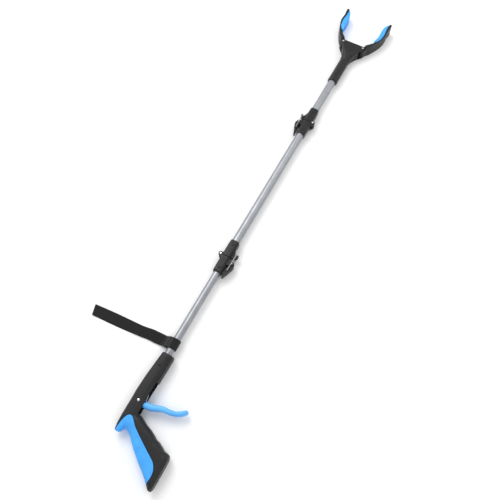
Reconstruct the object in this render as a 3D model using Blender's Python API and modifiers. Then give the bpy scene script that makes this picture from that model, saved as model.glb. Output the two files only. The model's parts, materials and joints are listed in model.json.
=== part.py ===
"""Folding reacher grabber, lying on its side.

The shaft runs along +X from the pistol handle to the jaws. The handle, jaws and both
folds turn in planes parallel to the XY plane, so every hinge axis is parallel to Z.
The trigger side is -Y, the wrist strap lies to +Y. The origin is on the flat underside
of the barrel, below the shaft's centre line. Units are metres, +Z is up.
"""
import math

import bmesh
import bpy
from mathutils import Matrix, Vector

MM = 0.001

# ---------------------------------------------------------------- overall sizes
BODY_DEPTH = 28 * MM            # handle and head housing, across the lying tool
SHAFT_Z = BODY_DEPTH / 2        # height of the shaft's centre line
BARREL_FRONT = 45 * MM          # origin to the barrel's mouth
BARREL_BACK = 45 * MM           # origin back to the trigger pivot
HANDLE_TUBE_RUN = 211 * MM      # barrel mouth to the lower fold
MIDDLE_RUN = 352 * MM           # lower fold to the upper fold
HEAD_RUN = 123 * MM             # upper fold to the head housing's sleeve
SLEEVE_LENGTH = 66 * MM         # head housing: round sleeve
FLARE_LENGTH = 44 * MM          # head housing: sleeve to the jaw pivots
GAP = 0.3 * MM                  # between pieces that touch
PLAY = 0.4 * MM                 # pins and sliding pieces in their holes
SLIVER = 0.1 * MM               # keeps the faces of joined shapes out of one plane

# ---------------------------------------------------------------- tubes and cable
HANDLE_TUBE_OD = 14 * MM
MIDDLE_TUBE_OD = 16 * MM
HEAD_TUBE_OD = 16 * MM
TUBE_WALL = 1.0 * MM
CABLE_RADIUS = 0.6 * MM
CABLE_HOLE = 2.2 * MM           # radius of the cable's way through a socket wall

# ---------------------------------------------------------------- fold joints
SOCKET_WALL = 1.5 * MM          # plastic around a tube at its thinnest
SOCKET_LENGTH = 36 * MM         # fold line to the end of a socket
SOCKET_FLOOR = 8 * MM           # solid end of a socket at the fold line
HINGE_OFFSET = 11.5 * MM        # hinge pin from the shaft's centre line
HINGE_PIN_RADIUS = 2.0 * MM
KNUCKLE_RADIUS = 4.6 * MM
KNUCKLE_SPLIT = 3.2 * MM        # half height of the middle knuckle
KNUCKLE_REACH = 8.5 * MM        # knuckle web along the socket
KNUCKLE_ROOT = 5.3 * MM         # where the web starts, inside the socket
KNUCKLE_FOOT = 9.2 * MM         # where the web runs out
HOOK_X = 11 * MM                # bail's seat in front of the fold line
HOOK_HALF = 5.0 * MM            # half width of the hook across the tool
LEVER_PIVOT_X = 9 * MM          # latch pivot behind the fold line
LEVER_HALF = 5.0 * MM           # half width of the latch lever
EAR_THICKNESS = 2.4 * MM
LATCH_OFFSET = 16.5 * MM        # latch pivot from the shaft's centre line
LATCH_PIN_RADIUS = 1.5 * MM
BAIL_PIVOT_X = 25 * MM          # bail's pivot on the lever, behind the fold line
BAIL_OFFSET = 15.4 * MM         # bail's pivot from the shaft's centre line
BAIL_RADIUS = 0.8 * MM
LEVER_TIP_X = 40 * MM

# ---------------------------------------------------------------- handle
BARREL_WIDTH = 27.4 * MM        # widest, at the trigger pivot
MOUTH_WIDTH = 23.4 * MM
GRIP_REACH = 93 * MM            # shaft's centre line down to the butt
BARREL_WALL = 2.4 * MM
INLAY_DEPTH = 2.4 * MM          # soft palm inlay
GRIP_WALL = 4.8 * MM            # plastic plus inlay
TRIGGER_REACH = 82 * MM         # pivot to the trigger's tip, across the shaft
TRIGGER_HALF = 8.8 * MM         # half width of the trigger
TRIGGER_HUB = 8.6 * MM
TRIGGER_PIN_RADIUS = 2.4 * MM
NIPPLE_RADIUS = 2.2 * MM        # cable end in the trigger
POCKET_FRONT = 39 * MM          # trigger pivot to the front of its slot
POCKET_BACK = 19 * MM           # trigger pivot to the back of that slot
POCKET_ROOF = 5 * MM            # the slot is cut up to this far below the pivot
POCKET_SIDE = 1.2 * MM          # the trigger to each side of the slot
TRIGGER_TURN = math.radians(28)
SCREW_RADIUS = 1.5 * MM
SCREW_HEAD = 3.0 * MM           # radius of a screw's head
COUNTERBORE = 3.4 * MM          # depth that the screw heads are sunk to
RIVET_RADIUS = 1.5 * MM         # rivet shank
RIVET_HEAD = 2.4 * MM           # radius of a rivet's head
RIVET_FROM_MOUTH = 23 * MM      # barrel rivet behind the barrel's mouth
RIVET_FROM_RIM = 20 * MM        # head rivet in front of the sleeve's rim
BOSS_RADIUS = 4.0 * MM
GRIP_STEP = 0.1 * MM            # the grip's sides stand this far inside the barrel's

# ---------------------------------------------------------------- head and jaws
SLEEVE_RADIUS = 11 * MM
HOUSING_WALL = 3.8 * MM
JAW_SPREAD = 23.5 * MM          # jaw pivot from the shaft's centre line
JAW_REACH = 96 * MM             # jaw pivot to the jaw's tip
JAW_HALF_DEPTH = 13 * MM        # jaw strip, half its height across the tool
JAW_PIN_RADIUS = 2.0 * MM
JAW_HUB = 6.8 * MM              # a jaw's round end about its pivot
JAW_CRANK = 10 * MM             # jaw pivot to the yoke pin
JAW_TURN = math.radians(28.5)
YOKE_PIN_RADIUS = 1.5 * MM
TAIL_RADIUS = 3.9 * MM          # jaw tail around the yoke pin
FERRULE_RADIUS = 2.0 * MM
TAIL_HALF = 3.0 * MM            # half height of a jaw's slotted tail
PAD_HALF = 12.5 * MM
YOKE_DEPTH = 6.2 * MM           # half height of the yoke's middle block
YOKE_FRONT = 3.6 * MM           # yoke pins to the yoke's front face
YOKE_BACK = 6.0 * MM            # yoke pins to the face that the spring pushes on
YOKE_BAR = 2.6 * MM             # bar under the tails: its thickness and half width
SPRING_RADIUS = 4.0 * MM        # to the middle of the wire
SPRING_WIRE = 0.5 * MM
SPRING_TURNS = 5
SPRING_LENGTH = 17 * MM

# ---------------------------------------------------------------- wrist strap
STRAP_WIDTH = 20 * MM
STRAP_REACH = 168 * MM          # shaft's centre line to the end of the loop
STRAP_THICKNESS = 1.2 * MM
STRAP_SLANT = 0.08              # the loop lies slightly towards the handle
STRAP_FROM_MOUTH = 11 * MM

# ---------------------------------------------------------------- places along the shaft
TRIGGER_X = -BARREL_BACK
LOWER_FOLD_X = BARREL_FRONT + HANDLE_TUBE_RUN
UPPER_FOLD_X = LOWER_FOLD_X + MIDDLE_RUN
SLEEVE_X = UPPER_FOLD_X + HEAD_RUN
FLARE_X = SLEEVE_X + SLEEVE_LENGTH
JAW_X = FLARE_X + FLARE_LENGTH
TUBE_END_X = TRIGGER_X + 36 * MM
HEAD_TUBE_END_X = FLARE_X - 12 * MM

# ---------------------------------------------------------------- colours: RGB, roughness, metallic
BLACK_PLASTIC = ((0.035, 0.034, 0.036), 0.45, 0.0)
BLUE_RUBBER = ((0.08, 0.40, 0.90), 0.55, 0.0)
BLUE_PLASTIC = ((0.10, 0.42, 0.92), 0.40, 0.0)
ALUMINIUM = ((0.50, 0.51, 0.54), 0.35, 1.0)
STEEL = ((0.62, 0.62, 0.64), 0.25, 1.0)
BLACKENED = ((0.03, 0.03, 0.032), 0.4, 0.5)
WEBBING = ((0.045, 0.045, 0.048), 0.9, 0.0)

NEAR_MERGE = 0.00001            # points closer than this are one point
CORNER_STEPS = 3                # facets in a rounded corner
FAR = 2.0                       # beyond the end of the tool


# ================================================================ scene helpers
for old in list(bpy.data.objects):
    bpy.data.objects.remove(old, do_unlink=True)

PARTS = bpy.data.collections.new("reacher_grabber")
CUTTERS = bpy.data.collections.new("reacher_grabber_cutters")
for made in (PARTS, CUTTERS):
    bpy.context.scene.collection.children.link(made)


def material(name, finish):
    colour, roughness, metallic = finish
    made = bpy.data.materials.new(name)
    made.use_nodes = True
    shader = made.node_tree.nodes["Principled BSDF"]
    shader.inputs["Base Color"].default_value = (*colour, 1.0)
    shader.inputs["Roughness"].default_value = roughness
    shader.inputs["Metallic"].default_value = metallic
    return made


def from_bmesh(name, shape):
    """An object made from a bmesh. It starts as a cutter; hang() makes it a piece."""
    bmesh.ops.recalc_face_normals(shape, faces=shape.faces)
    mesh = bpy.data.meshes.new(name)
    shape.to_mesh(mesh)
    shape.free()
    made = bpy.data.objects.new(name, mesh)
    made.hide_render = True
    made.display_type = "WIRE"
    CUTTERS.objects.link(made)
    return made


def joint_axis(name, x, y, parent=None):
    """An empty on a joint's axis, which the moving pieces hang from."""
    empty = bpy.data.objects.new(name, None)
    empty.location = (x, y, SHAFT_Z)
    PARTS.objects.link(empty)
    if parent is not None:
        held_at = empty.location.copy()
        empty.parent = parent
        empty.matrix_parent_inverse = Matrix.Identity(4)
        empty.location = held_at - world_place(parent)
    return empty


def world_place(empty):
    place = empty.location.copy()
    while empty.parent is not None:
        empty = empty.parent
        place += empty.location
    return place


def hang(made, finish, axis=None, smooth=40):
    """Make an object a piece of the tool: own material, and a parent on its joint's axis."""
    CUTTERS.objects.unlink(made)
    PARTS.objects.link(made)
    made.hide_render = False
    made.display_type = "TEXTURED"
    made.data.materials.clear()
    made.data.materials.append(material(made.name, finish))
    made.data.shade_smooth()
    made.data.set_sharp_from_angle(angle=math.radians(smooth))
    if axis is not None:
        made.parent = axis
        made.matrix_parent_inverse = Matrix.Translation(-world_place(axis))
    return made


def boolean(target, other, operation):
    step = target.modifiers.new(operation.lower(), "BOOLEAN")
    step.object = other
    step.operation = operation
    step.solver = "EXACT"
    return target


def cut(target, *others):
    for other in others:
        boolean(target, other, "DIFFERENCE")
    return target


def add(target, *others):
    for other in others:
        boolean(target, other, "UNION")
    return target


def keep(target, *others):
    for other in others:
        boolean(target, other, "INTERSECT")
    return target


def soften(target, width, segments=1, angle=45):
    """Round the edges of a piece before it is cut."""
    step = target.modifiers.new("soften", "BEVEL")
    step.width = width
    step.segments = segments
    step.limit_method = "ANGLE"
    step.angle_limit = math.radians(angle)
    step.use_clamp_overlap = True
    return target


# ================================================================ shape helpers
def block(name, low, high):
    shape = bmesh.new()
    bmesh.ops.create_cube(shape, size=1.0)
    low, high = Vector(low), Vector(high)
    size, middle = high - low, (high + low) / 2
    for vertex in shape.verts:
        vertex.co = Vector(c * s + m for c, s, m in zip(vertex.co, size, middle))
    return from_bmesh(name, shape)


def cylinder(name, radius, start, end, sides=16):
    """A closed cylinder from one point to another."""
    start, end = Vector(start), Vector(end)
    shape = bmesh.new()
    bmesh.ops.create_cone(shape, cap_ends=True, segments=sides, radius1=radius,
                          radius2=radius, depth=(end - start).length)
    turn = (end - start).to_track_quat("Z", "Y").to_matrix().to_4x4()
    bmesh.ops.transform(shape, verts=shape.verts,
                        matrix=Matrix.Translation((start + end) / 2) @ turn)
    return from_bmesh(name, shape)


def turned(name, profile, place, sides=12):
    """A solid turned about Z; the profile's (radius, height) points run top to bottom."""
    mesh = bpy.data.meshes.new(name)
    corners = [(radius, 0.0, height) for radius, height in profile]
    mesh.from_pydata(corners, [(i, i + 1) for i in range(len(corners) - 1)], [])
    made = bpy.data.objects.new(name, mesh)
    CUTTERS.objects.link(made)
    made.hide_render = True
    made.display_type = "WIRE"
    made.location = place
    screw = made.modifiers.new("turn", "SCREW")
    screw.steps = sides
    screw.render_steps = sides
    screw.use_merge_vertices = True
    screw.merge_threshold = NEAR_MERGE
    screw.use_smooth_shade = True
    return made


def tube(name, radius, wall, start_x, end_x, sides=24):
    """A straight round tube along the shaft: an open cylinder given a wall."""
    shape = bmesh.new()
    bmesh.ops.create_cone(shape, cap_ends=False, segments=sides, radius1=radius,
                          radius2=radius, depth=end_x - start_x)
    lay = Matrix.Rotation(math.radians(90), 4, "Y")
    middle = Matrix.Translation(((start_x + end_x) / 2, 0, SHAFT_Z))
    bmesh.ops.transform(shape, verts=shape.verts, matrix=middle @ lay)
    made = from_bmesh(name, shape)
    solid = made.modifiers.new("wall", "SOLIDIFY")
    solid.thickness = wall
    solid.offset = -1.0
    return made


def plate(name, outlines, low, high, plane="XY"):
    """A flat outline with thickness. The first outline is the edge, the others are holes."""
    curve = bpy.data.curves.new(name, "CURVE")
    curve.dimensions = "2D"
    curve.fill_mode = "BOTH"
    curve.extrude = (high - low) / 2
    for outline in outlines:
        spline = curve.splines.new("POLY")
        spline.points.add(len(outline) - 1)
        spline.use_cyclic_u = True
        for point, (across, along) in zip(spline.points, outline):
            point.co = (across, along, 0, 1)
    drawn = bpy.data.objects.new(name, curve)
    CUTTERS.objects.link(drawn)
    bpy.context.view_layer.update()
    graph = bpy.context.evaluated_depsgraph_get()
    mesh = bpy.data.meshes.new_from_object(drawn.evaluated_get(graph))
    shape = bmesh.new()
    shape.from_mesh(mesh)
    bpy.data.objects.remove(drawn, do_unlink=True)
    bpy.data.meshes.remove(mesh)
    bmesh.ops.remove_doubles(shape, verts=shape.verts, dist=NEAR_MERGE)
    bmesh.ops.dissolve_limit(shape, angle_limit=math.radians(0.01), verts=shape.verts,
                             edges=shape.edges)
    middle = (low + high) / 2
    for vertex in shape.verts:
        across, along, up = vertex.co
        up += middle
        vertex.co = (across, along, up) if plane == "XY" else (up, across, along)
    return from_bmesh(name, shape)


def rounded_ring(half_a, half_b, radius, steps=CORNER_STEPS):
    """Points (a, b) around a rectangle with round corners."""
    radius = min(radius, 0.98 * half_a, 0.98 * half_b)
    points = []
    for corner in range(4):
        turn = corner * math.pi / 2
        sign_a = 1 if corner in (0, 3) else -1
        sign_b = 1 if corner in (0, 1) else -1
        for step in range(steps + 1):
            angle = turn + step / steps * math.pi / 2
            points.append((sign_a * (half_a - radius) + radius * math.cos(angle),
                           sign_b * (half_b - radius) + radius * math.sin(angle)))
    return points


def loft(name, stations):
    """A closed skin through rounded rectangles of different sizes.

    A station is (centre, direction of a, direction of b, half a, half b, corner radius).
    """
    shape = bmesh.new()
    rings = []
    for centre, along_a, along_b, half_a, half_b, radius in stations:
        ring = []
        for a, b in rounded_ring(half_a, half_b, radius):
            place = Vector(centre) + a * Vector(along_a) + b * Vector(along_b)
            ring.append(shape.verts.new(place))
        rings.append(ring)
    count = len(rings[0])
    for first, second in zip(rings, rings[1:]):
        for i in range(count):
            after = (i + 1) % count
            shape.faces.new((first[i], first[after], second[after], second[i]))
    shape.faces.new(rings[0])
    shape.faces.new(rings[-1])
    return from_bmesh(name, shape)


def wire(name, points, radius, resolution=2):
    """A round wire or cable through the given points, with closed ends."""
    curve = bpy.data.curves.new(name, "CURVE")
    curve.dimensions = "3D"
    curve.bevel_depth = radius
    curve.bevel_resolution = resolution
    curve.use_fill_caps = True
    spline = curve.splines.new("POLY")
    spline.points.add(len(points) - 1)
    for point, place in zip(spline.points, points):
        point.co = (*place, 1)
    drawn = bpy.data.objects.new(name, curve)
    CUTTERS.objects.link(drawn)
    bpy.context.view_layer.update()
    graph = bpy.context.evaluated_depsgraph_get()
    mesh = bpy.data.meshes.new_from_object(drawn.evaluated_get(graph))
    shape = bmesh.new()
    shape.from_mesh(mesh)
    bpy.data.objects.remove(drawn, do_unlink=True)
    bpy.data.meshes.remove(mesh)
    bmesh.ops.remove_doubles(shape, verts=shape.verts, dist=NEAR_MERGE)
    return from_bmesh(name, shape)


def arc(centre, radius, start, end, steps):
    """Points on an arc, angles in degrees, both ends included."""
    points = []
    for step in range(steps + 1):
        angle = math.radians(start + (end - start) * step / steps)
        points.append((centre[0] + radius * math.cos(angle),
                       centre[1] + radius * math.sin(angle)))
    return points


def smooth_line(points, per_span):
    """A Catmull-Rom curve through the points, as a list of points."""
    line = []
    last = len(points) - 1
    for i in range(last):
        p0 = Vector(points[max(i - 1, 0)])
        p1, p2 = Vector(points[i]), Vector(points[i + 1])
        p3 = Vector(points[min(i + 2, last)])
        for step in range(per_span):
            t = step / per_span
            line.append(0.5 * (2 * p1 + (p2 - p0) * t + (2 * p0 - 5 * p1 + 4 * p2 - p3) * t * t
                               + (3 * p1 - p0 - 3 * p2 + p3) * t ** 3))
    line.append(Vector(points[last]))
    return [tuple(point) for point in line]


def grown(outline, distance):
    """An outline with every corner moved outwards."""
    area = sum(a[0] * b[1] - b[0] * a[1] for a, b in zip(outline, outline[1:] + outline[:1]))
    side = 1 if area > 0 else -1
    moved = []
    count = len(outline)
    for i, point in enumerate(outline):
        before = Vector(outline[i - 1])
        after = Vector(outline[(i + 1) % count])
        run = (after - before).normalized()
        moved.append((point[0] + side * run.y * distance, point[1] - side * run.x * distance))
    return moved


def upright(name, radius, x, y, low, high, sides=14):
    """A cylinder parallel to Z."""
    return cylinder(name, radius, (x, y, low), (x, y, high), sides)


# ================================================================ joint axes
AXIS_TRIGGER = joint_axis("axis_trigger", TRIGGER_X, 0)
AXIS_LOWER = joint_axis("axis_lower_fold", LOWER_FOLD_X, HINGE_OFFSET)
AXIS_UPPER = joint_axis("axis_upper_fold", UPPER_FOLD_X, -HINGE_OFFSET, AXIS_LOWER)
AXIS_JAW = {side: joint_axis("axis_jaw_" + word, JAW_X, side * JAW_SPREAD, AXIS_UPPER)
            for side, word in ((1, "left"), (-1, "right"))}


# ================================================================ handle
BARREL_SHAPE = (
    # share of the way from pivot to mouth, y of the centre, half width, corner radius (mm)
    (-0.66, 7.6, 3.2, 3.0),
    (-0.63, 7.0, 5.2, 5.0),
    (-0.52, 5.2, 8.4, 7.0),
    (-0.36, 2.2, 12.0, 9.0),
    (-0.18, 0.9, 13.6, 9.5),
    (0.0, 0.9, 13.7, 10.0),
    (0.16, 1.3, 13.7, 10.0),
    (0.45, 0.3, 13.7, 10.0),
    (0.75, -1.2, 12.8, 10.0),
    (0.96, -2.0, 11.9, 10.0),
    (1.0, -2.1, 11.0, 9.6),
)
GRIP_SHAPE = (
    # share of the reach below the shaft's centre line, finger side x, palm side x (mm)
    (-0.04, -18.0, -48.0),
    (0.08, -18.5, -50.0),
    (0.18, -20.0, -55.5),
    (0.26, -23.5, -62.5),
    (0.36, -28.0, -71.0),
    (0.46, -31.0, -78.0),
    (0.56, -35.5, -85.0),
    (0.63, -39.5, -89.5),
    (0.70, -41.0, -94.0),
    (0.78, -44.5, -99.5),
    (0.86, -48.8, -106.0),
    (0.93, -49.6, -112.0),
    (0.975, -51.0, -112.8),
    (1.0, -54.5, -110.5),
)
INLAY_EDGE = (
    # share of the reach below the centre line, x from the pivot (mm): the blue outline
    (-0.125, -66.0),
    (-0.085, -44.0),
    (-0.055, -34.0),
    (-0.01, -27.5),
    (0.05, -27.0),
    (0.12, -32.0),
    (0.20, -39.0),
    (0.36, -48.5),
    (0.54, -58.5),
    (0.70, -67.0),
    (0.80, -73.0),
    (0.865, -82.0),
    (0.885, -92.0),
    (0.875, -101.0),
    (0.84, -120.0),
    (0.30, -120.0),
    (-0.10, -78.0),
)
SCREW_PLACES = ((19.0, -4.5), (39.0, 33.0), (57.0, 61.0), (88.0, 85.5))
SPUR_DEPTHS = {0: 5.5, 1: 8.5, 2: 12.0}


def barrel_form(name, inset=0.0, first=0, last=None):
    """The barrel and its spur, with its surface moved in by the inset."""
    length = BARREL_FRONT + BARREL_BACK
    widest = max(row[2] for row in BARREL_SHAPE)
    stations = []
    for index, (share, middle, half, radius) in enumerate(BARREL_SHAPE):
        if index < first or (last is not None and index > last):
            continue
        grow = BARREL_WIDTH / 2 / (widest * MM) if share < 0.9 else MOUTH_WIDTH / 2 / (11.7 * MM)
        depth = SPUR_DEPTHS.get(index, 14.0) * MM * SHAFT_Z / (14.0 * MM)
        if share > 0.98:
            depth -= 0.8 * MM
        reach = half * MM * grow - inset
        stations.append(((TRIGGER_X + share * length, middle * MM, SHAFT_Z), (0, 1, 0),
                         (0, 0, 1), max(reach, 0.5 * MM), max(depth - inset, 0.5 * MM),
                         max(radius * MM - inset, 0.4 * MM)))
    return loft(name, stations)


def grip_form(name, inset=0.0):
    """The grip, a stack of sections parallel to the shaft."""
    stations = []
    for share, finger, palm in GRIP_SHAPE:
        if inset > 0 and share > 0.95:
            continue
        middle = TRIGGER_X + (finger + palm) / 2 * MM
        half = (finger - palm) / 2 * MM - inset
        depth = SHAFT_Z - GRIP_STEP - inset
        if share > 0.99:
            depth -= 2.5 * MM
        elif share > 0.95:
            depth -= 0.6 * MM
        stations.append(((middle, -share * GRIP_REACH, SHAFT_Z), (1, 0, 0), (0, 0, 1),
                         half, depth, 10.5 * MM - inset))
    return loft(name, stations)


def inlay_region(name, growth=0.0):
    outline = [(TRIGGER_X + x * MM, -share * GRIP_REACH) for share, x in INLAY_EDGE]
    fine = smooth_line(outline[:14], 3) + outline[14:]
    if growth:
        fine = grown(fine, growth)
    return plate(name, [fine], -5 * MM, BODY_DEPTH + 5 * MM)


def half_space(name, upper):
    """Everything above or below the handle's and head's parting plane."""
    low, high = (SHAFT_Z + GAP / 2, FAR) if upper else (-FAR, SHAFT_Z - GAP / 2)
    return block(name, (-FAR, -FAR, low), (FAR, FAR, high))


def trigger_pocket(name):
    """The slot that the trigger's root swings in, open on the finger side."""
    half = TRIGGER_HALF + POCKET_SIDE
    front = TRIGGER_X + POCKET_FRONT
    back = TRIGGER_X - POCKET_BACK
    below = -2.2 * BARREL_WIDTH / 2
    outline = [(back, -0.6 * BARREL_WIDTH), (back + 4 * MM, below), (front, below),
               (front, -POCKET_ROOF), (back, -POCKET_ROOF)]
    return plate(name, [outline], SHAFT_Z - half, SHAFT_Z + half)


def hub_room(name):
    """The round space that the trigger's hub turns in."""
    half = TRIGGER_HALF + PLAY
    return upright(name, TRIGGER_HUB + PLAY, TRIGGER_X, 0, SHAFT_Z - half, SHAFT_Z + half, 24)


def handle_shell(upper, shapes):
    word = "top" if upper else "bottom"
    shell = barrel_form("handle_shell_" + word)
    add(shell, grip_form("form_grip_" + word))
    keep(shell, half_space("half_handle_" + word, upper))
    cut(shell, shapes["recess"], shapes["barrel_hollow"], shapes["grip_hollow"],
        shapes["pocket"], shapes["hub_room"], shapes["tube_seat"])
    inner = SHAFT_Z + (GAP if upper else -GAP)
    outer = BODY_DEPTH - BARREL_WALL / 2 if upper else BARREL_WALL / 2
    floor = (INLAY_DEPTH + GRIP_WALL) / 2
    low, high = sorted((inner, BODY_DEPTH - floor if upper else floor))
    for number, (x, y) in enumerate(screw_spots(), 1):
        add(shell, upright("boss_%s_%d" % (word, number), BOSS_RADIUS, x, y, low, high))
    for number, (x, y) in enumerate(screw_spots(), 1):
        shank = SCREW_RADIUS + GAP
        if upper:
            cut(shell, upright("thread_%d" % number, shank, x, y, 0, SHAFT_Z + 9 * MM))
        else:
            cut(shell, upright("shank_%d" % number, shank, x, y, -0.01, BODY_DEPTH),
                upright("counterbore_%d" % number, SCREW_HEAD + GAP, x, y, -0.01,
                        COUNTERBORE))
    add(shell, upright("pivot_boss_" + word, TRIGGER_PIN_RADIUS + 2.6 * MM, TRIGGER_X, 0,
                       *sorted((SHAFT_Z + (1 if upper else -1) * (TRIGGER_HALF + PLAY),
                                outer))))
    cut(shell, shapes["pin_hole"])
    if upper:
        cut(shell, shapes["rivet_hole"])
    return hang(shell, BLACK_PLASTIC)


def screw_spots():
    return [(TRIGGER_X - x * MM, -y * MM * (GRIP_REACH / (93 * MM) if y > 0 else 1))
            for x, y in SCREW_PLACES]


def handle():
    shapes = {"recess": inlay_region("recess_region", GAP)}
    cut(shapes["recess"], barrel_form("recess_core_barrel", INLAY_DEPTH),
        grip_form("recess_core_grip", INLAY_DEPTH))
    shapes["barrel_hollow"] = barrel_form("barrel_hollow", BARREL_WALL, 4, 7)
    shapes["grip_hollow"] = grip_form("grip_hollow", GRIP_WALL)
    shapes["pocket"] = trigger_pocket("trigger_pocket")
    shapes["hub_room"] = hub_room("hub_room")
    shapes["tube_seat"] = cylinder("tube_seat", HANDLE_TUBE_OD / 2 + GAP,
                                   (TUBE_END_X - GAP, 0, SHAFT_Z), (1, 0, SHAFT_Z), 24)
    shapes["pin_hole"] = upright("trigger_pin_hole", TRIGGER_PIN_RADIUS + GAP, TRIGGER_X, 0,
                                 -0.01, BODY_DEPTH + 0.01)
    rivet_x = BARREL_FRONT - RIVET_FROM_MOUTH
    shapes["rivet_hole"] = upright("barrel_rivet_hole", RIVET_RADIUS + GAP, rivet_x, 0,
                                   SHAFT_Z, BODY_DEPTH + 0.01)
    for upper in (True, False):
        handle_shell(upper, shapes)
        palm_inlay(upper)
    for number, (x, y) in enumerate(screw_spots(), 1):
        screw("handle_screw_%d" % number, x, y)
    pin = upright("trigger_pin", TRIGGER_PIN_RADIUS, TRIGGER_X, 0, 0.6 * MM,
                  BODY_DEPTH + 0.5 * MM)
    hang(soften(pin, 0.5 * MM), STEEL)
    rivet("barrel_rivet", rivet_x, HANDLE_TUBE_OD / 2, BODY_DEPTH, None)


def palm_inlay(upper):
    """The soft skin over the palm side of one shell."""
    word = "top" if upper else "bottom"
    skin = barrel_form("palm_inlay_" + word)
    add(skin, grip_form("inlay_grip_" + word))
    keep(skin, half_space("half_inlay_" + word, upper), inlay_region("inlay_region_" + word))
    cut(skin, barrel_form("inlay_core_barrel_" + word, INLAY_DEPTH - GAP),
        grip_form("inlay_core_grip_" + word, INLAY_DEPTH - GAP))
    return hang(skin, BLUE_RUBBER)


def screw(name, x, y, axis=None):
    """A pan-head screw, put in from below, with a slot in its head."""
    head_low, head_high, tip = 0.9 * MM, COUNTERBORE - GAP, SHAFT_Z + 8 * MM
    made = upright(name, SCREW_RADIUS, x, y, head_high - 0.2 * MM, tip, 8)
    head = soften(upright(name + "_head", SCREW_HEAD, x, y, head_low, head_high, 12), 0.4 * MM)
    slot = block(name + "_slot", (x - 2.2 * MM, y - 0.45 * MM, 0),
                 (x + 2.2 * MM, y + 0.45 * MM, head_low + 1.0 * MM))
    return hang(cut(add(made, head), slot), STEEL, axis)


def rivet(name, x, tube_radius, surface_z, axis):
    """A domed rivet through a sleeve's upper wall and the tube in it."""
    foot = SHAFT_Z + tube_radius - TUBE_WALL - 0.6 * MM
    profile = [(0.0, surface_z + 1.3 * MM), (RIVET_RADIUS, surface_z + 1.05 * MM),
               (RIVET_HEAD, surface_z + GAP), (RIVET_HEAD, surface_z + SLIVER),
               (RIVET_RADIUS, surface_z + SLIVER), (RIVET_RADIUS, foot), (0.0, foot)]
    return hang(turned(name, profile, (x, 0, 0), 16), BLACKENED, axis)


# ================================================================ trigger and cable
TRIGGER_LINE = (
    # share of the reach below the pivot, x from the pivot, half thickness (mm)
    (0.06, -0.3, 6.3),
    (0.15, -1.2, 6.0),
    (0.27, -1.0, 5.6),
    (0.40, 3.2, 5.0),
    (0.53, 7.2, 4.5),
    (0.66, 7.4, 4.3),
    (0.80, 10.0, 4.2),
    (0.90, 14.8, 4.0),
    (0.975, 20.6, 3.5),
    (1.0, 22.6, 2.4),
)


def nipple_place():
    """The cable's seat on the trigger, as far out as the yoke's travel needs."""
    half_turn = TRIGGER_TURN / 2
    arm = yoke_travel() / (2 * math.sin(half_turn))
    return (TRIGGER_X + arm * math.sin(half_turn), -arm * math.cos(half_turn))


def trigger():
    """The finger trigger: a wavy lever on a hub, with a seat for the cable's nipple."""
    middle = [(x * MM, -share * TRIGGER_REACH, half * MM) for share, x, half in TRIGGER_LINE]
    stations = []
    last = len(middle) - 1
    for i, (x, y, half) in enumerate(middle):
        before, after = middle[max(i - 1, 0)], middle[min(i + 1, last)]
        run = Vector((after[0] - before[0], after[1] - before[1], 0)).normalized()
        depth = TRIGGER_HALF * (0.97 if i < 2 else 1.0) - (2.0 * MM if i == last else 0)
        stations.append(((TRIGGER_X + x, y, SHAFT_Z), (-run.y, run.x, 0), (0, 0, 1),
                         half, depth, half * 0.8))
    made = loft("trigger", stations)
    hub_low, hub_high = SHAFT_Z - TRIGGER_HALF, SHAFT_Z + TRIGGER_HALF
    add(made, upright("trigger_hub", TRIGGER_HUB, TRIGGER_X, 0, hub_low, hub_high, 24))
    seat_x, seat_y = nipple_place()
    way = [(seat_x - 1.5 * MM, seat_y - 3 * MM), (seat_x + 30 * MM, seat_y - 3 * MM),
           (seat_x + 30 * MM, seat_y + 26 * MM), (seat_x - 1.0 * MM, seat_y + 1.5 * MM)]
    half_way = CABLE_RADIUS + 0.7 * MM
    cut(made,
        upright("trigger_bore", TRIGGER_PIN_RADIUS + PLAY, TRIGGER_X, 0, 0, BODY_DEPTH),
        upright("nipple_seat", NIPPLE_RADIUS + GAP, seat_x, seat_y, SHAFT_Z - 3.6 * MM,
                BODY_DEPTH),
        plate("cable_way", [way], SHAFT_Z - half_way, SHAFT_Z + half_way))
    hang(made, BLUE_PLASTIC, AXIS_TRIGGER)
    nipple = upright("cable_nipple", NIPPLE_RADIUS, seat_x, seat_y, SHAFT_Z - 3 * MM,
                     SHAFT_Z + 3 * MM, 16)
    groove = block("nipple_groove", (seat_x + 0.8 * MM, seat_y - 4 * MM, SHAFT_Z - half_way),
                   (seat_x + 8 * MM, seat_y + 6 * MM, SHAFT_Z + half_way))
    hang(cut(nipple, groove), STEEL, AXIS_TRIGGER)


def cable():
    """The pull cable, in three lengths that meet at the folds."""
    seat_x, seat_y = nipple_place()
    back = yoke_travel() + 2 * MM
    start = (seat_x + 1.6 * MM, seat_y)
    bend = [start, (start[0] + 8 * MM, seat_y * 0.82), (TUBE_END_X - 6 * MM, seat_y * 0.34),
            (TUBE_END_X + 12 * MM, -1.2 * MM), (TUBE_END_X + 40 * MM, 0),
            (LOWER_FOLD_X - GAP, 0)]
    line = [(x, y, SHAFT_Z) for x, y in smooth_line(bend, 5)]
    hang(wire("cable_handle_run", line, CABLE_RADIUS), STEEL)
    for name, start_x, end_x, axis in (
            ("cable_middle_run", LOWER_FOLD_X + back, UPPER_FOLD_X - GAP, AXIS_LOWER),
            ("cable_head_run", UPPER_FOLD_X + back, yoke_x() - YOKE_BACK, AXIS_UPPER)):
        line = [(start_x + (end_x - start_x) * i / 4, 0, SHAFT_Z) for i in range(5)]
        hang(wire(name, line, CABLE_RADIUS), STEEL, axis)


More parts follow.
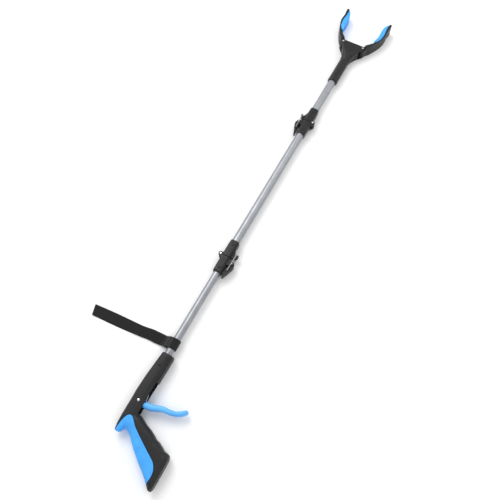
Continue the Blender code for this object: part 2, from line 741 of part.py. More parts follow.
# ================================================================ tubes
def tubes():
    runs = (("handle_tube", HANDLE_TUBE_OD, TUBE_END_X, LOWER_FOLD_X - SOCKET_FLOOR, None,
             (BARREL_FRONT - RIVET_FROM_MOUTH, rivet_x_base(LOWER_FOLD_X))),
            ("middle_tube", MIDDLE_TUBE_OD, LOWER_FOLD_X + SOCKET_FLOOR,
             UPPER_FOLD_X - SOCKET_FLOOR, AXIS_LOWER,
             (rivet_x_cap(LOWER_FOLD_X), rivet_x_base(UPPER_FOLD_X))),
            ("head_tube", HEAD_TUBE_OD, UPPER_FOLD_X + SOCKET_FLOOR, HEAD_TUBE_END_X,
             AXIS_UPPER, (rivet_x_cap(UPPER_FOLD_X), SLEEVE_X + RIVET_FROM_RIM)))
    for name, diameter, start_x, end_x, axis, rivets in runs:
        made = tube(name, diameter / 2, TUBE_WALL, start_x, end_x)
        for number, x in enumerate(rivets):
            cut(made, upright("%s_hole_%d" % (name, number), RIVET_RADIUS + GAP, x, 0, SHAFT_Z,
                              BODY_DEPTH, 16))
        hang(made, ALUMINIUM, axis)


def rivet_x_base(fold_x):
    return fold_x - 0.72 * SOCKET_LENGTH


def rivet_x_cap(fold_x):
    return fold_x + 0.72 * SOCKET_LENGTH


# ================================================================ fold joints
def socket_half(tube_od):
    return tube_od / 2 + SOCKET_WALL


def knuckle_outline(fold_x, side, facing, radius):
    """A round knuckle on the hinge pin, with a web that runs down to its socket.

    side is +1 where the pin is at +Y. facing is -1 for a socket behind the fold line.
    """
    points = [(0.2 * MM, KNUCKLE_ROOT)]
    points += arc((0, HINGE_OFFSET), radius, 270, 60, 7)
    points += [(KNUCKLE_REACH, KNUCKLE_FOOT), (KNUCKLE_REACH, KNUCKLE_ROOT)]
    return [(fold_x + facing * x, side * y) for x, y in points]


def socket_body(name, fold_x, facing, half):
    """The rounded square sleeve around a tube's end."""
    stations = []
    for along, narrow in ((0.15 * MM, 0.6 * MM), (0.75 * MM, 0), (SOCKET_LENGTH * 0.45, 0),
                          (SOCKET_LENGTH - 2.4 * MM, 0.2 * MM), (SOCKET_LENGTH, 1.0 * MM)):
        stations.append(((fold_x + facing * along, 0, SHAFT_Z), (0, 1, 0), (0, 0, 1),
                         half - narrow, half - narrow, 5.0 * MM - narrow / 2))
    return loft(name, stations)


def tube_bore(name, fold_x, facing, tube_od):
    start = fold_x + facing * (SOCKET_FLOOR - GAP)
    end = fold_x + facing * (SOCKET_LENGTH + 10 * MM)
    return cylinder(name, tube_od / 2 + GAP, (start, 0, SHAFT_Z), (end, 0, SHAFT_Z), 24)


def lever_outline():
    """Plan of the latch lever: distance in front of the fold line, distance outwards."""
    outer = smooth_line([(-5.0, 19.6), (-9.0, 21.6), (-14.5, 22.3), (-21.0, 20.6), (-30.0, 17.2),
                         (-37.0, 14.6), (-LEVER_TIP_X / MM, 13.6)], 2)
    inner = [(-LEVER_TIP_X / MM - 0.6, 11.8), (-38.5, 11.0), (-31.0, 11.6), (-24.0, 12.2),
             (-14.0, 12.2), (-6.0, 13.2), (-4.2, 15.0), (-4.0, 17.6)]
    return [(x * MM, y * MM) for x, y in outer + inner]


def fold_joint(prefix, fold_x, side, base_tube, cap_tube, base_axis, cap_axis):
    """One fold: two sockets, hinge pin on one side, lever latch with a bail on the other."""
    half_base, half_cap = socket_half(base_tube), socket_half(cap_tube)
    half = max(half_base, half_cap)
    pin_y, latch_y = side * HINGE_OFFSET, -side * LATCH_OFFSET
    low, high = SHAFT_Z - half, SHAFT_Z + half
    swing = KNUCKLE_RADIUS + 0.6 * MM
    mid_low, mid_high = SHAFT_Z - KNUCKLE_SPLIT, SHAFT_Z + KNUCKLE_SPLIT
    pin_hole = upright(prefix + "_pin_hole", HINGE_PIN_RADIUS + PLAY / 2, fold_x, pin_y,
                       -0.01, BODY_DEPTH)
    cable_hole = cylinder(prefix + "_cable_hole", CABLE_HOLE, (fold_x - 0.02, 0, SHAFT_Z),
                          (fold_x + 0.02, 0, SHAFT_Z), 16)
    latch_pin_x = fold_x - LEVER_PIVOT_X
    ear_low = LEVER_HALF + GAP

    base = socket_body(prefix + "_joint_base", fold_x, -1, half)
    outline = knuckle_outline(fold_x, side, -1, KNUCKLE_RADIUS)
    add(base, plate(prefix + "_knuckle_low", [outline], low + 0.6 * MM, mid_low - GAP),
        plate(prefix + "_knuckle_high", [outline], mid_high + GAP, high - 0.6 * MM))
    ear = [(fold_x - LEVER_PIVOT_X + x, -side * (LATCH_OFFSET + y))
           for x, y in arc((0, 0), 3.6 * MM, -10, 190, 6)]
    ear += [(fold_x - LEVER_PIVOT_X - 6.5 * MM, -side * (half - 1 * MM)),
            (fold_x - LEVER_PIVOT_X + 6.5 * MM, -side * (half - 1 * MM))]
    for word, sign in (("low", -1), ("high", 1)):
        near, far = sorted((SHAFT_Z + sign * ear_low, SHAFT_Z + sign * (ear_low + EAR_THICKNESS)))
        add(base, plate("%s_ear_%s" % (prefix, word), [ear], near, far))
    cut(base, tube_bore(prefix + "_base_bore", fold_x, -1, base_tube), cable_hole,
        upright(prefix + "_base_swing", swing, fold_x, pin_y, mid_low - GAP - SLIVER,
                mid_high + GAP + SLIVER),
        pin_hole,
        upright(prefix + "_latch_pin_hole", LATCH_PIN_RADIUS + PLAY / 2, latch_pin_x, latch_y,
                0, BODY_DEPTH),
        upright(prefix + "_base_rivet_hole", RIVET_RADIUS + GAP, rivet_x_base(fold_x), 0, SHAFT_Z,
                BODY_DEPTH, 16))
    hang(base, BLACK_PLASTIC, base_axis)

    cap = socket_body(prefix + "_joint_cap", fold_x, 1, half)
    outline = knuckle_outline(fold_x, side, 1, KNUCKLE_RADIUS)
    add(cap, plate(prefix + "_knuckle_mid", [outline], mid_low, mid_high))
    hook = [(2.0, 9.0), (2.0, 13.0), (4.5, 16.6), (7.0, 19.4), (10.0, 20.3), (12.6, 19.6),
            (12.9, 18.4), (11.0, 18.1), (9.9, 17.2), (9.8, 15.2), (11.5, 13.2), (15.0, 11.5),
            (22.0, 9.0)]
    hook = [(fold_x + x * MM, -side * y * MM) for x, y in hook]
    add(cap, plate(prefix + "_hook", [hook], SHAFT_Z - HOOK_HALF, SHAFT_Z + HOOK_HALF))
    cut(cap, tube_bore(prefix + "_cap_bore", fold_x, 1, cap_tube), cable_hole,
        upright(prefix + "_cap_swing_low", swing, fold_x, pin_y, -0.01, mid_low - SLIVER),
        upright(prefix + "_cap_swing_high", swing, fold_x, pin_y, mid_high + SLIVER, BODY_DEPTH),
        pin_hole,
        upright(prefix + "_cap_rivet_hole", RIVET_RADIUS + GAP, rivet_x_cap(fold_x), 0, SHAFT_Z,
                BODY_DEPTH, 16))
    hang(cap, BLACK_PLASTIC, cap_axis)

    pin = upright(prefix + "_hinge_pin", HINGE_PIN_RADIUS, fold_x, pin_y, low - 0.2 * MM,
                  high + 0.6 * MM)
    hang(soften(pin, 0.4 * MM), STEEL, base_axis)
    latch_pin = upright(prefix + "_latch_pin", LATCH_PIN_RADIUS, latch_pin_x, latch_y,
                        SHAFT_Z - ear_low - EAR_THICKNESS - 0.4 * MM,
                        SHAFT_Z + ear_low + EAR_THICKNESS + 0.4 * MM, 16)
    hang(soften(latch_pin, 0.3 * MM), STEEL, base_axis)
    rivet(prefix + "_base_rivet", rivet_x_base(fold_x), base_tube / 2, high, base_axis)
    rivet(prefix + "_cap_rivet", rivet_x_cap(fold_x), cap_tube / 2, high, cap_axis)
    latch(prefix, fold_x, side, base_axis)


def latch(prefix, fold_x, side, base_axis):
    """The lever on its pin and the wire bail that it draws over the hook."""
    lever_axis = joint_axis("axis_%s_latch" % prefix, fold_x - LEVER_PIVOT_X,
                            -side * LATCH_OFFSET, base_axis)
    bail_axis = joint_axis("axis_%s_bail" % prefix, fold_x - BAIL_PIVOT_X,
                           -side * BAIL_OFFSET, lever_axis)
    outline = [(fold_x + x, -side * y) for x, y in lever_outline()]
    lever = plate(prefix + "_latch_lever", [outline], SHAFT_Z - LEVER_HALF,
                  SHAFT_Z + LEVER_HALF)
    soften(lever, 0.7 * MM)
    bail_x, bail_y = fold_x - BAIL_PIVOT_X, -side * BAIL_OFFSET
    cut(lever, upright(prefix + "_lever_bore", LATCH_PIN_RADIUS + PLAY / 2,
                       fold_x - LEVER_PIVOT_X, -side * LATCH_OFFSET, 0, BODY_DEPTH))
    for word, sign in (("low", -1), ("high", 1)):
        near, far = sorted((SHAFT_Z + sign * 1.6 * MM, SHAFT_Z + sign * 20 * MM))
        cut(lever, upright("%s_bail_seat_%s" % (prefix, word), BAIL_RADIUS + GAP, bail_x,
                           bail_y, near, far, 16))
    hang(lever, BLACK_PLASTIC, lever_axis)

    leg = LEVER_HALF + GAP + EAR_THICKNESS + 0.5 * MM + BAIL_RADIUS + 0.3 * MM
    hook_x = fold_x + HOOK_X + BAIL_RADIUS * 0.2
    hook_y = -side * (LATCH_OFFSET - 0.1 * MM)
    corners = [(bail_x, bail_y, 2.2 * MM), (bail_x, bail_y, leg), (hook_x, hook_y, leg),
               (hook_x, hook_y, -leg), (bail_x, bail_y, -leg), (bail_x, bail_y, -2.2 * MM)]
    line = [corners[0]]
    for before, corner, after in zip(corners, corners[1:], corners[2:]):
        line += rounded_corner(before, corner, after, 1.8 * MM)
    line.append(corners[-1])
    made = wire(prefix + "_latch_bail", [(x, y, z + SHAFT_Z) for x, y, z in line], BAIL_RADIUS)
    hang(made, STEEL, bail_axis)


def rounded_corner(before, corner, after, radius, steps=4):
    """Points around one bend of a wire."""
    before, corner, after = Vector(before), Vector(corner), Vector(after)
    start = corner + (before - corner).normalized() * radius
    end = corner + (after - corner).normalized() * radius
    points = []
    for step in range(steps + 1):
        t = step / steps
        points.append(tuple(start * (1 - t) ** 2 + corner * 2 * t * (1 - t) + end * t ** 2))
    return points


# ================================================================ head housing
FLARE_SHAPE = (
    # share of the flare, half width (mm), half depth (mm), corner radius (mm)
    (0.0, 11.0, 11.0, 10.4),
    (0.20, 11.4, 12.4, 8.0),
    (0.48, 15.0, 14.0, 5.0),
    (0.70, 19.8, 14.0, 3.4),
    (0.86, 25.4, 14.0, 2.6),
    (1.0, 29.2, 14.0, 2.2),
    (1.07, 28.8, 13.8, 2.0),
    (1.115, 26.6, 13.2, 1.6),
)


def housing_form(name, inset=0.0, first=0):
    deep = SHAFT_Z / (14 * MM)
    wide = (JAW_SPREAD + 5.7 * MM) / (29.2 * MM)
    stations = []
    if first == 0:
        for along, narrow in ((0, 1.2 * MM), (2.5 * MM, 0), (SLEEVE_LENGTH * 0.5, 0)):
            stations.append((SLEEVE_X + along, SLEEVE_RADIUS - narrow - inset,
                             SLEEVE_RADIUS - narrow - inset, SLEEVE_RADIUS))
    for index, (share, half_y, half_z, radius) in enumerate(FLARE_SHAPE):
        if index < first:
            continue
        blend = min(share / 0.7, 1.0)
        half_y = half_y * MM * (wide * blend + SLEEVE_RADIUS / (11 * MM) * (1 - blend))
        stations.append((FLARE_X + share * FLARE_LENGTH, half_y - inset,
                         half_z * MM * deep - inset, max(radius * MM, 0.5 * MM)))
    return loft(name, [((x, 0, SHAFT_Z), (0, 1, 0), (0, 0, 1), half_y, half_z, radius)
                       for x, half_y, half_z, radius in stations])


def housing_screw_spots():
    return [(FLARE_X + 0.62 * FLARE_LENGTH, side * 14.2 * MM) for side in (1, -1)]


def head_housing():
    """Two shells that hold the tube, the jaw pivots and the yoke."""
    seat = cylinder("head_tube_seat", HEAD_TUBE_OD / 2 + GAP, (SLEEVE_X - 0.1, 0, SHAFT_Z),
                    (HEAD_TUBE_END_X + GAP, 0, SHAFT_Z), 24)
    depth = SHAFT_Z - HOUSING_WALL
    cable_way = cylinder("head_cable_way", CABLE_HOLE, (HEAD_TUBE_END_X - 0.01, 0, SHAFT_Z),
                         (JAW_X, 0, SHAFT_Z), 16)
    spring_way = cylinder("spring_way", SPRING_RADIUS + SPRING_WIRE + 0.8 * MM,
                          (spring_back() - yoke_travel() - 1.5 * MM, 0, SHAFT_Z),
                          (JAW_X + 0.05, 0, SHAFT_Z), 24)
    yoke_way = block("yoke_way",
                     (yoke_x() - yoke_travel() - YOKE_FRONT - 2 * MM, -yoke_half() - 1.6 * MM,
                      SHAFT_Z - YOKE_DEPTH - 1 * MM),
                     (JAW_X + 0.05, yoke_half() + 1.6 * MM, SHAFT_Z + YOKE_DEPTH + 1 * MM))
    room = JAW_HUB + 0.7 * MM
    way = [(JAW_X - JAW_CRANK - 2.5 * MM, -JAW_SPREAD), (JAW_X - JAW_CRANK - 2.5 * MM, JAW_SPREAD)]
    way += arc((JAW_X, JAW_SPREAD), room, 180, 90, 5) + [(JAW_X, 0.1), (JAW_X + 0.1, 0.1)]
    way += [(JAW_X + 0.1, -0.1), (JAW_X, -0.1)] + arc((JAW_X, -JAW_SPREAD), room, -90, -180, 5)
    jaw_way = plate("jaw_way", [way], SHAFT_Z - depth, SHAFT_Z + depth)
    pins = [upright("jaw_pin_hole_%d" % side, JAW_PIN_RADIUS + GAP, JAW_X, side * JAW_SPREAD,
                    -0.01, BODY_DEPTH + 0.01) for side in (1, -1)]
    for upper in (True, False):
        word = "top" if upper else "bottom"
        shell = housing_form("head_housing_" + word)
        keep(shell, half_space("half_head_" + word, upper))
        cut(shell, seat, cable_way, spring_way, yoke_way, jaw_way, *pins)
        for number, (x, y) in enumerate(housing_screw_spots(), 1):
            tag = "head_%s_%d" % (word, number)
            cut(shell, upright(tag + "_shank", SCREW_RADIUS + GAP, x, y, -0.01,
                               SHAFT_Z + 9 * MM))
            if not upper:
                cut(shell, upright(tag + "_counterbore", SCREW_HEAD + GAP, x, y, -0.01,
                                   COUNTERBORE))
        if upper:
            cut(shell, upright("head_rivet_hole", RIVET_RADIUS + GAP, SLEEVE_X + RIVET_FROM_RIM, 0,
                               SHAFT_Z, BODY_DEPTH, 16))
        hang(shell, BLACK_PLASTIC, AXIS_UPPER)
    for number, (x, y) in enumerate(housing_screw_spots(), 1):
        screw("head_screw_%d" % number, x, y, AXIS_UPPER)
    rivet("head_rivet", SLEEVE_X + RIVET_FROM_RIM, HEAD_TUBE_OD / 2, SHAFT_Z + SLEEVE_RADIUS,
          AXIS_UPPER)
    for side, word in ((1, "left"), (-1, "right")):
        pin = upright("jaw_pin_" + word, JAW_PIN_RADIUS, JAW_X, side * JAW_SPREAD, 0.6 * MM,
                      BODY_DEPTH + 0.5 * MM)
        hang(soften(pin, 0.4 * MM), STEEL, AXIS_UPPER)


# ================================================================ yoke and return spring
def yoke_travel():
    return 2 * JAW_CRANK * math.sin(JAW_TURN / 2)


def yoke_x():
    """Where the yoke's pins stand at rest, half the travel in front of the jaw pivots."""
    return JAW_X + yoke_travel() / 2


def yoke_half():
    return JAW_SPREAD - JAW_CRANK


def spring_back():
    return yoke_x() - YOKE_BACK - GAP - SPRING_WIRE - SPRING_LENGTH


def yoke():
    """The crosshead that the cable pulls; its two pins stand in the jaws' slotted tails."""
    x = yoke_x()
    bar_high = SHAFT_Z - TAIL_HALF - 0.5 * MM
    bar_low = bar_high - YOKE_BAR
    bar_end = yoke_half() + YOKE_PIN_RADIUS + 0.9 * MM
    inner = yoke_half() - TAIL_RADIUS - 1.2 * MM
    made = block("yoke", (x - YOKE_BACK, -inner, bar_low),
                 (x + YOKE_FRONT, inner, SHAFT_Z + TAIL_HALF))
    soften(made, 0.6 * MM)
    add(made, block("yoke_bar", (x - YOKE_BAR, -bar_end, bar_low + SLIVER),
                    (x + YOKE_BAR, bar_end, bar_high)))
    for side in (1, -1):
        add(made, upright("yoke_pin_%d" % side, YOKE_PIN_RADIUS, x, side * yoke_half(),
                          bar_low + YOKE_BAR / 6, SHAFT_Z + TAIL_HALF, 16))
    cut(made, cylinder("yoke_cable_hole", CABLE_RADIUS + GAP, (x - 0.02, 0, SHAFT_Z),
                       (x + 0.02, 0, SHAFT_Z), 16),
        cylinder("ferrule_seat", FERRULE_RADIUS + GAP, (x - 1.0 * MM, 0, SHAFT_Z),
                 (x + 0.02, 0, SHAFT_Z), 16))
    hang(made, STEEL, AXIS_UPPER)
    ferrule = cylinder("cable_ferrule", FERRULE_RADIUS, (x - 1.0 * MM + GAP, 0, SHAFT_Z),
                       (x + YOKE_FRONT + 1.0 * MM, 0, SHAFT_Z), 16)
    hang(soften(ferrule, 0.4 * MM), STEEL, AXIS_UPPER)
    steps = 10
    count = SPRING_TURNS * steps
    line = []
    for i in range(count + 1):
        angle = 2 * math.pi * i / steps
        line.append((spring_back() + SPRING_LENGTH * i / count,
                     SPRING_RADIUS * math.cos(angle), SHAFT_Z + SPRING_RADIUS * math.sin(angle)))
    hang(wire("return_spring", line, SPRING_WIRE, 1), STEEL, AXIS_UPPER)


# ================================================================ jaws
ARM_OUTER = ((4.0, 6.6), (14.0, 14.6), (27.0, 21.2), (40.0, 26.8), (58.0, 31.4), (76.0, 30.8),
             (91.0, 32.6))
ARM_TIP = ((94.6, 32.0), (96.0, 30.2), (95.8, 28.2), (94.4, 26.9))
ARM_INNER = ((92.4, 26.4), (76.0, 26.4), (60.0, 27.8), (43.0, 25.6), (32.0, 20.0), (21.0, 11.0),
             (13.0, 3.5))
ARM_HEEL = ((11.0, 1.6), (8.6, 2.2))
PAD_OUTER = ((32.2, 18.9), (43.0, 25.0), (60.0, 27.4), (76.0, 26.0), (91.6, 26.0))
PAD_INNER = ((93.4, 25.4), (92.6, 24.6), (87.0, 21.2), (78.0, 18.0), (66.0, 17.4), (54.0, 18.0),
             (44.0, 17.6), (36.0, 15.4), (32.2, 14.8))


def jaw_points(points, side):
    """Jaw outline points, given in mm from the pivot at the stated reach, in place."""
    stretch = JAW_REACH / (96 * MM)
    return [(JAW_X + x * MM * stretch, side * (JAW_SPREAD + y * MM)) for x, y in points]


def jaw(side, word):
    axis = AXIS_JAW[side]
    pivot_y = side * JAW_SPREAD
    outline = jaw_points(smooth_line(ARM_OUTER, 2) + list(ARM_TIP)
                         + smooth_line(ARM_INNER, 2) + list(ARM_HEEL), side)
    arm = plate("jaw_arm_" + word, [outline], SHAFT_Z - JAW_HALF_DEPTH, SHAFT_Z + JAW_HALF_DEPTH)
    soften(arm, 0.8 * MM, 1, 50)
    web_half = SHAFT_Z - HOUSING_WALL - 0.7 * MM
    web = jaw_points([(13.0, 3.5), (22.0, 11.6), (27.0, 18.6), (20.0, 17.4), (8.0, 9.6)], side)
    web += [(JAW_X + x, side * (JAW_SPREAD + y)) for x, y in arc((0, 0), JAW_HUB, 100, 265, 7)]
    web += jaw_points([(5.0, -4.6), (9.0, -1.0)], side)
    add(arm, plate("jaw_web_" + word, [web], SHAFT_Z - web_half, SHAFT_Z + web_half))
    tail_x, tail_y = yoke_x(), side * yoke_half()
    tail = [(tail_x, tail_y, TAIL_RADIUS), (JAW_X, pivot_y, JAW_PIN_RADIUS + 3.4 * MM)]
    add(arm, plate("jaw_tail_" + word, [strap_around(*tail)], SHAFT_Z - TAIL_HALF,
                   SHAFT_Z + TAIL_HALF))
    slot_run = Vector((tail_x - JAW_X, tail_y - pivot_y)).normalized() * 0.6 * MM
    slot = strap_around((tail_x + slot_run.x, tail_y + slot_run.y, YOKE_PIN_RADIUS + PLAY),
                        (tail_x - slot_run.x, tail_y - slot_run.y, YOKE_PIN_RADIUS + PLAY))
    cut(arm, upright("jaw_bore_" + word, JAW_PIN_RADIUS + PLAY, JAW_X, pivot_y, 0, BODY_DEPTH),
        plate("jaw_slot_" + word, [slot], SHAFT_Z - 10 * MM, SHAFT_Z + 10 * MM),
        relief("jaw_relief_" + word, side))
    hang(arm, BLACK_PLASTIC, axis)

    outline = jaw_points(smooth_line(PAD_OUTER, 2) + smooth_line(PAD_INNER, 2), side)
    pad = plate("jaw_pad_" + word, [outline], SHAFT_Z - PAD_HALF, SHAFT_Z + PAD_HALF)
    hang(soften(pad, 1.2 * MM, 1, 50), BLUE_RUBBER, axis)


def relief(name, side):
    """Room over and under a jaw's tail for the yoke."""
    x, y = yoke_x(), side * yoke_half()
    shape = upright(name, 7.2 * MM, x, y - side * 2.0 * MM, SHAFT_Z - 20 * MM,
                    SHAFT_Z - TAIL_HALF)
    add(shape, upright(name + "_over", 7.2 * MM, x, y - side * 2.0 * MM, SHAFT_Z + TAIL_HALF,
                       SHAFT_Z + 20 * MM))
    return shape


def strap_around(first, second, steps=8):
    """The outline of two circles (x, y, radius) joined by straight sides."""
    (x1, y1, r1), (x2, y2, r2) = first, second
    along = Vector((x2 - x1, y2 - y1))
    heading = math.degrees(math.atan2(along.y, along.x))
    lean = math.degrees(math.asin((r1 - r2) / along.length))
    points = arc((x1, y1), r1, heading + 90 - lean, heading + 270 + lean, steps)
    points += arc((x2, y2), r2, heading - 90 + lean, heading + 90 - lean, steps)
    return points


# ================================================================ wrist strap
def strap():
    """A doubled webbing loop: around the handle tube, then flat on the table."""
    ring = HANDLE_TUBE_OD / 2 + 0.6 * MM
    outside = ring + 1.8 * MM
    low, high = 0.3 * MM, 0.3 * MM + 2 * STRAP_THICKNESS
    outer = arc((0, SHAFT_Z), outside, 38, 250, 18)
    outer = [(y, z) for y, z in outer]
    outer += smooth_line([(-0.5 * MM, 3.4 * MM), (6 * MM, 2.2 * MM), (13 * MM, 0.8 * MM),
                          (22 * MM, low), (60 * MM, low)], 3)
    outer += [(STRAP_REACH - 1.2 * MM, low), (STRAP_REACH, low + STRAP_THICKNESS),
              (STRAP_REACH - 1.2 * MM, high), (60 * MM, high)]
    outer += smooth_line([(30 * MM, high), (22 * MM, high + 0.9 * MM), (16 * MM, 7.6 * MM),
                          (12 * MM, 13.0 * MM), (9.6 * MM, 17.2 * MM)], 3)
    hole = arc((0, SHAFT_Z), ring, 0, 345, 23)
    start = BARREL_FRONT + STRAP_FROM_MOUTH
    made = plate("wrist_strap", [outer, hole], start, start + STRAP_WIDTH, "YZ")
    for vertex in made.data.vertices:
        vertex.co.x -= STRAP_SLANT * max(vertex.co.y - HANDLE_TUBE_OD, 0)
    axis = joint_axis("axis_strap_turn", start + STRAP_WIDTH / 2, 0)
    hang(made, WEBBING, axis)


handle()
trigger()
cable()
tubes()
fold_joint("lower", LOWER_FOLD_X, 1, HANDLE_TUBE_OD, MIDDLE_TUBE_OD, None, AXIS_LOWER)
fold_joint("upper", UPPER_FOLD_X, -1, MIDDLE_TUBE_OD, HEAD_TUBE_OD, AXIS_LOWER, AXIS_UPPER)
head_housing()
yoke()
jaw(1, "left")
jaw(-1, "right")
strap()
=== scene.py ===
"""Looks of a folding reacher grabber that lies on its side on a pale floor.

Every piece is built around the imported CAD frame: +X along the shaft to the jaws, -Y the
trigger side, +Z up. Units are metres.
"""
import json
import math

import bmesh
import bpy
import numpy as np
from mathutils import Matrix, Vector


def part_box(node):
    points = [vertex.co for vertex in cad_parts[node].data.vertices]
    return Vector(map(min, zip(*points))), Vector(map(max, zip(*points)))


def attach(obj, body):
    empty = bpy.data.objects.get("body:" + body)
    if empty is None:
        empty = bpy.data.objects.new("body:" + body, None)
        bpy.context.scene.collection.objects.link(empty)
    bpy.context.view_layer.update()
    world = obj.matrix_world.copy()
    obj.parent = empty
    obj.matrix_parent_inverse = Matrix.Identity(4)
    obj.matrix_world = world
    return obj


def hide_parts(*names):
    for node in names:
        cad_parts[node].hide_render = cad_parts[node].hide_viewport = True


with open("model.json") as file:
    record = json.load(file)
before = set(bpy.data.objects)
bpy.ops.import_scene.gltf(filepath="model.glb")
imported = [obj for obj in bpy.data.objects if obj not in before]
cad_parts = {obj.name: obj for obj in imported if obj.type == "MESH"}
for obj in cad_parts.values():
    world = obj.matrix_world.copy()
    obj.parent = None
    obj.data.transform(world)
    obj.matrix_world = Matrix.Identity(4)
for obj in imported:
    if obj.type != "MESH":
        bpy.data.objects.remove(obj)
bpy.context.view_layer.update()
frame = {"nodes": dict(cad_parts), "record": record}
NODES = frame["nodes"]
RECORD = frame["record"]

MM = 0.001
BODY_OF = {node: body for body, nodes in RECORD["behaviour"]["bodies"].items()
           for node in nodes}
SHAFT_Z = (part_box("handle_tube")[0].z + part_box("handle_tube")[1].z) / 2

GROOVE_FROM_MOUTH = 26.5 * MM   # the barrel's mouth to the groove round it
DOT_PITCH = 2.4 * MM            # the palm inlay's dots
DOT_DEPTH = 0.32 * MM
RIB_PITCH = 3.6 * MM            # the jaw pads' ribs
RIB_DEPTH = 0.55 * MM
TUBE_WALL = 1.0 * MM
RIVET_DOME = 1.2 * MM
SCREW_SHANK = 1.5 * MM          # radius
SCREW_PITCH = 0.8 * MM
SCREW_HEAD = 2.2 * MM           # height
STRAP_LAYER = 1.0 * MM
STRAP_SEAM = 2.4 * MM           # edge of the webbing to its box stitches
STITCH_PITCH = 2.4 * MM
STITCH_LENGTH = 1.8 * MM
STITCH_RADIUS = 0.22 * MM
FLOOR_REACH = 60.0
CAMERA_PLACE = (-0.0894, -0.2360, 0.9832)
CAMERA_AIM = (0.291, -0.032, 0.014)
CAMERA_LENS = 40.1
CAMERA_SENSOR = 36.0


# ================================================================ shader helpers
def new_material(name):
    made = bpy.data.materials.new(name)
    made.use_nodes = True
    return made, made.node_tree.nodes, made.node_tree.links


def value_of(nodes, links, kind, **sockets):
    """A node with its sockets set: numbers and colours directly, other sockets by a link."""
    node = nodes.new(kind)
    for name, value in sockets.items():
        socket = node.inputs[name.replace("_", " ")]
        if isinstance(value, bpy.types.NodeSocket):
            links.new(value, socket)
        else:
            socket.default_value = value
    return node


def noise(nodes, links, place, scale, detail=3.0, roughness=0.55):
    made = value_of(nodes, links, "ShaderNodeTexNoise", Vector=place, Scale=scale,
                    Detail=detail, Roughness=roughness)
    return made.outputs["Fac"]


def ranged(nodes, links, value, low, high, to_low=0.0, to_high=1.0):
    node = nodes.new("ShaderNodeMapRange")
    node.inputs["From Min"].default_value = low
    node.inputs["From Max"].default_value = high
    node.inputs["To Min"].default_value = to_low
    node.inputs["To Max"].default_value = to_high
    links.new(value, node.inputs["Value"])
    return node.outputs["Result"]


def mixed(nodes, links, factor, first, second):
    """A colour between two colours."""
    node = nodes.new("ShaderNodeMix")
    node.data_type = "RGBA"
    links.new(factor, node.inputs[0])
    for socket, value in ((node.inputs[6], first), (node.inputs[7], second)):
        if isinstance(value, bpy.types.NodeSocket):
            links.new(value, socket)
        else:
            socket.default_value = (*value, 1.0)
    return node.outputs[2]


def maths(nodes, links, operation, first, second):
    node = nodes.new("ShaderNodeMath")
    node.operation = operation
    for socket, value in ((node.inputs[0], first), (node.inputs[1], second)):
        if isinstance(value, bpy.types.NodeSocket):
            links.new(value, socket)
        else:
            socket.default_value = value
    return node.outputs[0]


def bumped(nodes, links, height, strength, distance, before=None):
    node = nodes.new("ShaderNodeBump")
    node.inputs["Strength"].default_value = strength
    node.inputs["Distance"].default_value = distance
    links.new(height, node.inputs["Height"])
    if before is not None:
        links.new(before, node.inputs["Normal"])
    return node.outputs["Normal"]


def place_of(nodes, links, stretch=(1, 1, 1)):
    """Object coordinates, in metres, with each axis scaled."""
    coordinates = nodes.new("ShaderNodeTexCoord")
    mapping = nodes.new("ShaderNodeMapping")
    mapping.inputs["Scale"].default_value = stretch
    links.new(coordinates.outputs["Object"], mapping.inputs["Vector"])
    return mapping.outputs["Vector"]


def worn_edges(nodes, links, low=0.52, high=0.60):
    """1 on outward edges, 0 elsewhere."""
    geometry = nodes.new("ShaderNodeNewGeometry")
    return ranged(nodes, links, geometry.outputs["Pointiness"], low, high)


# ================================================================ materials
def moulded(name, colour, roughness=0.42, grain=0.00003, grain_scale=2600, edge=1.5,
            coat=0.0, shine=0.45, speckle=0.0):
    """Moulded plastic or rubber: spark-eroded grain, faint flow marks, polished edges."""
    made, nodes, links = new_material(name)
    shader = nodes["Principled BSDF"]
    place = place_of(nodes, links)
    cloud = noise(nodes, links, place, 38, 4)
    flow = noise(nodes, links, place_of(nodes, links, (14, 60, 60)), 1.0, 3)
    dark = tuple(c * 0.84 for c in colour)
    light = tuple(min(c * 1.14 + 0.002, 1.0) for c in colour)
    base = mixed(nodes, links, ranged(nodes, links, cloud, 0.3, 0.7), dark, light)
    base = mixed(nodes, links, ranged(nodes, links, flow, 0.45, 0.75, 0.0, 0.25), base,
                 tuple(min(c * 1.3 + 0.003, 1.0) for c in colour))
    rub = worn_edges(nodes, links)
    rub = maths(nodes, links, "MULTIPLY", rub, ranged(nodes, links, noise(
        nodes, links, place, 420, 4), 0.35, 0.65, 0.25, 0.9))
    worn = tuple(min(c * edge + 0.006, 1.0) for c in colour)
    base = mixed(nodes, links, rub, base, worn)
    if speckle > 0:
        flecks = ranged(nodes, links, noise(nodes, links, place, 620, 2), 0.56, 0.66, 0, speckle)
        base = mixed(nodes, links, flecks, base, tuple(c * 0.6 for c in colour))
    links.new(base, shader.inputs["Base Color"])
    smear = ranged(nodes, links, noise(nodes, links, place, 95, 5), 0.3, 0.7,
                   roughness - 0.06, roughness + 0.08)
    smear = maths(nodes, links, "SUBTRACT", smear, maths(nodes, links, "MULTIPLY", rub, 0.1))
    links.new(smear, shader.inputs["Roughness"])
    height = noise(nodes, links, place, grain_scale, 2)
    normal = bumped(nodes, links, height, 0.5, grain)
    normal = bumped(nodes, links, noise(nodes, links, place, 60, 2), 0.12, 0.0003, normal)
    links.new(normal, shader.inputs["Normal"])
    shader.inputs["Specular IOR Level"].default_value = shine
    shader.inputs["Coat Weight"].default_value = coat
    shader.inputs["Coat Roughness"].default_value = 0.3
    return made


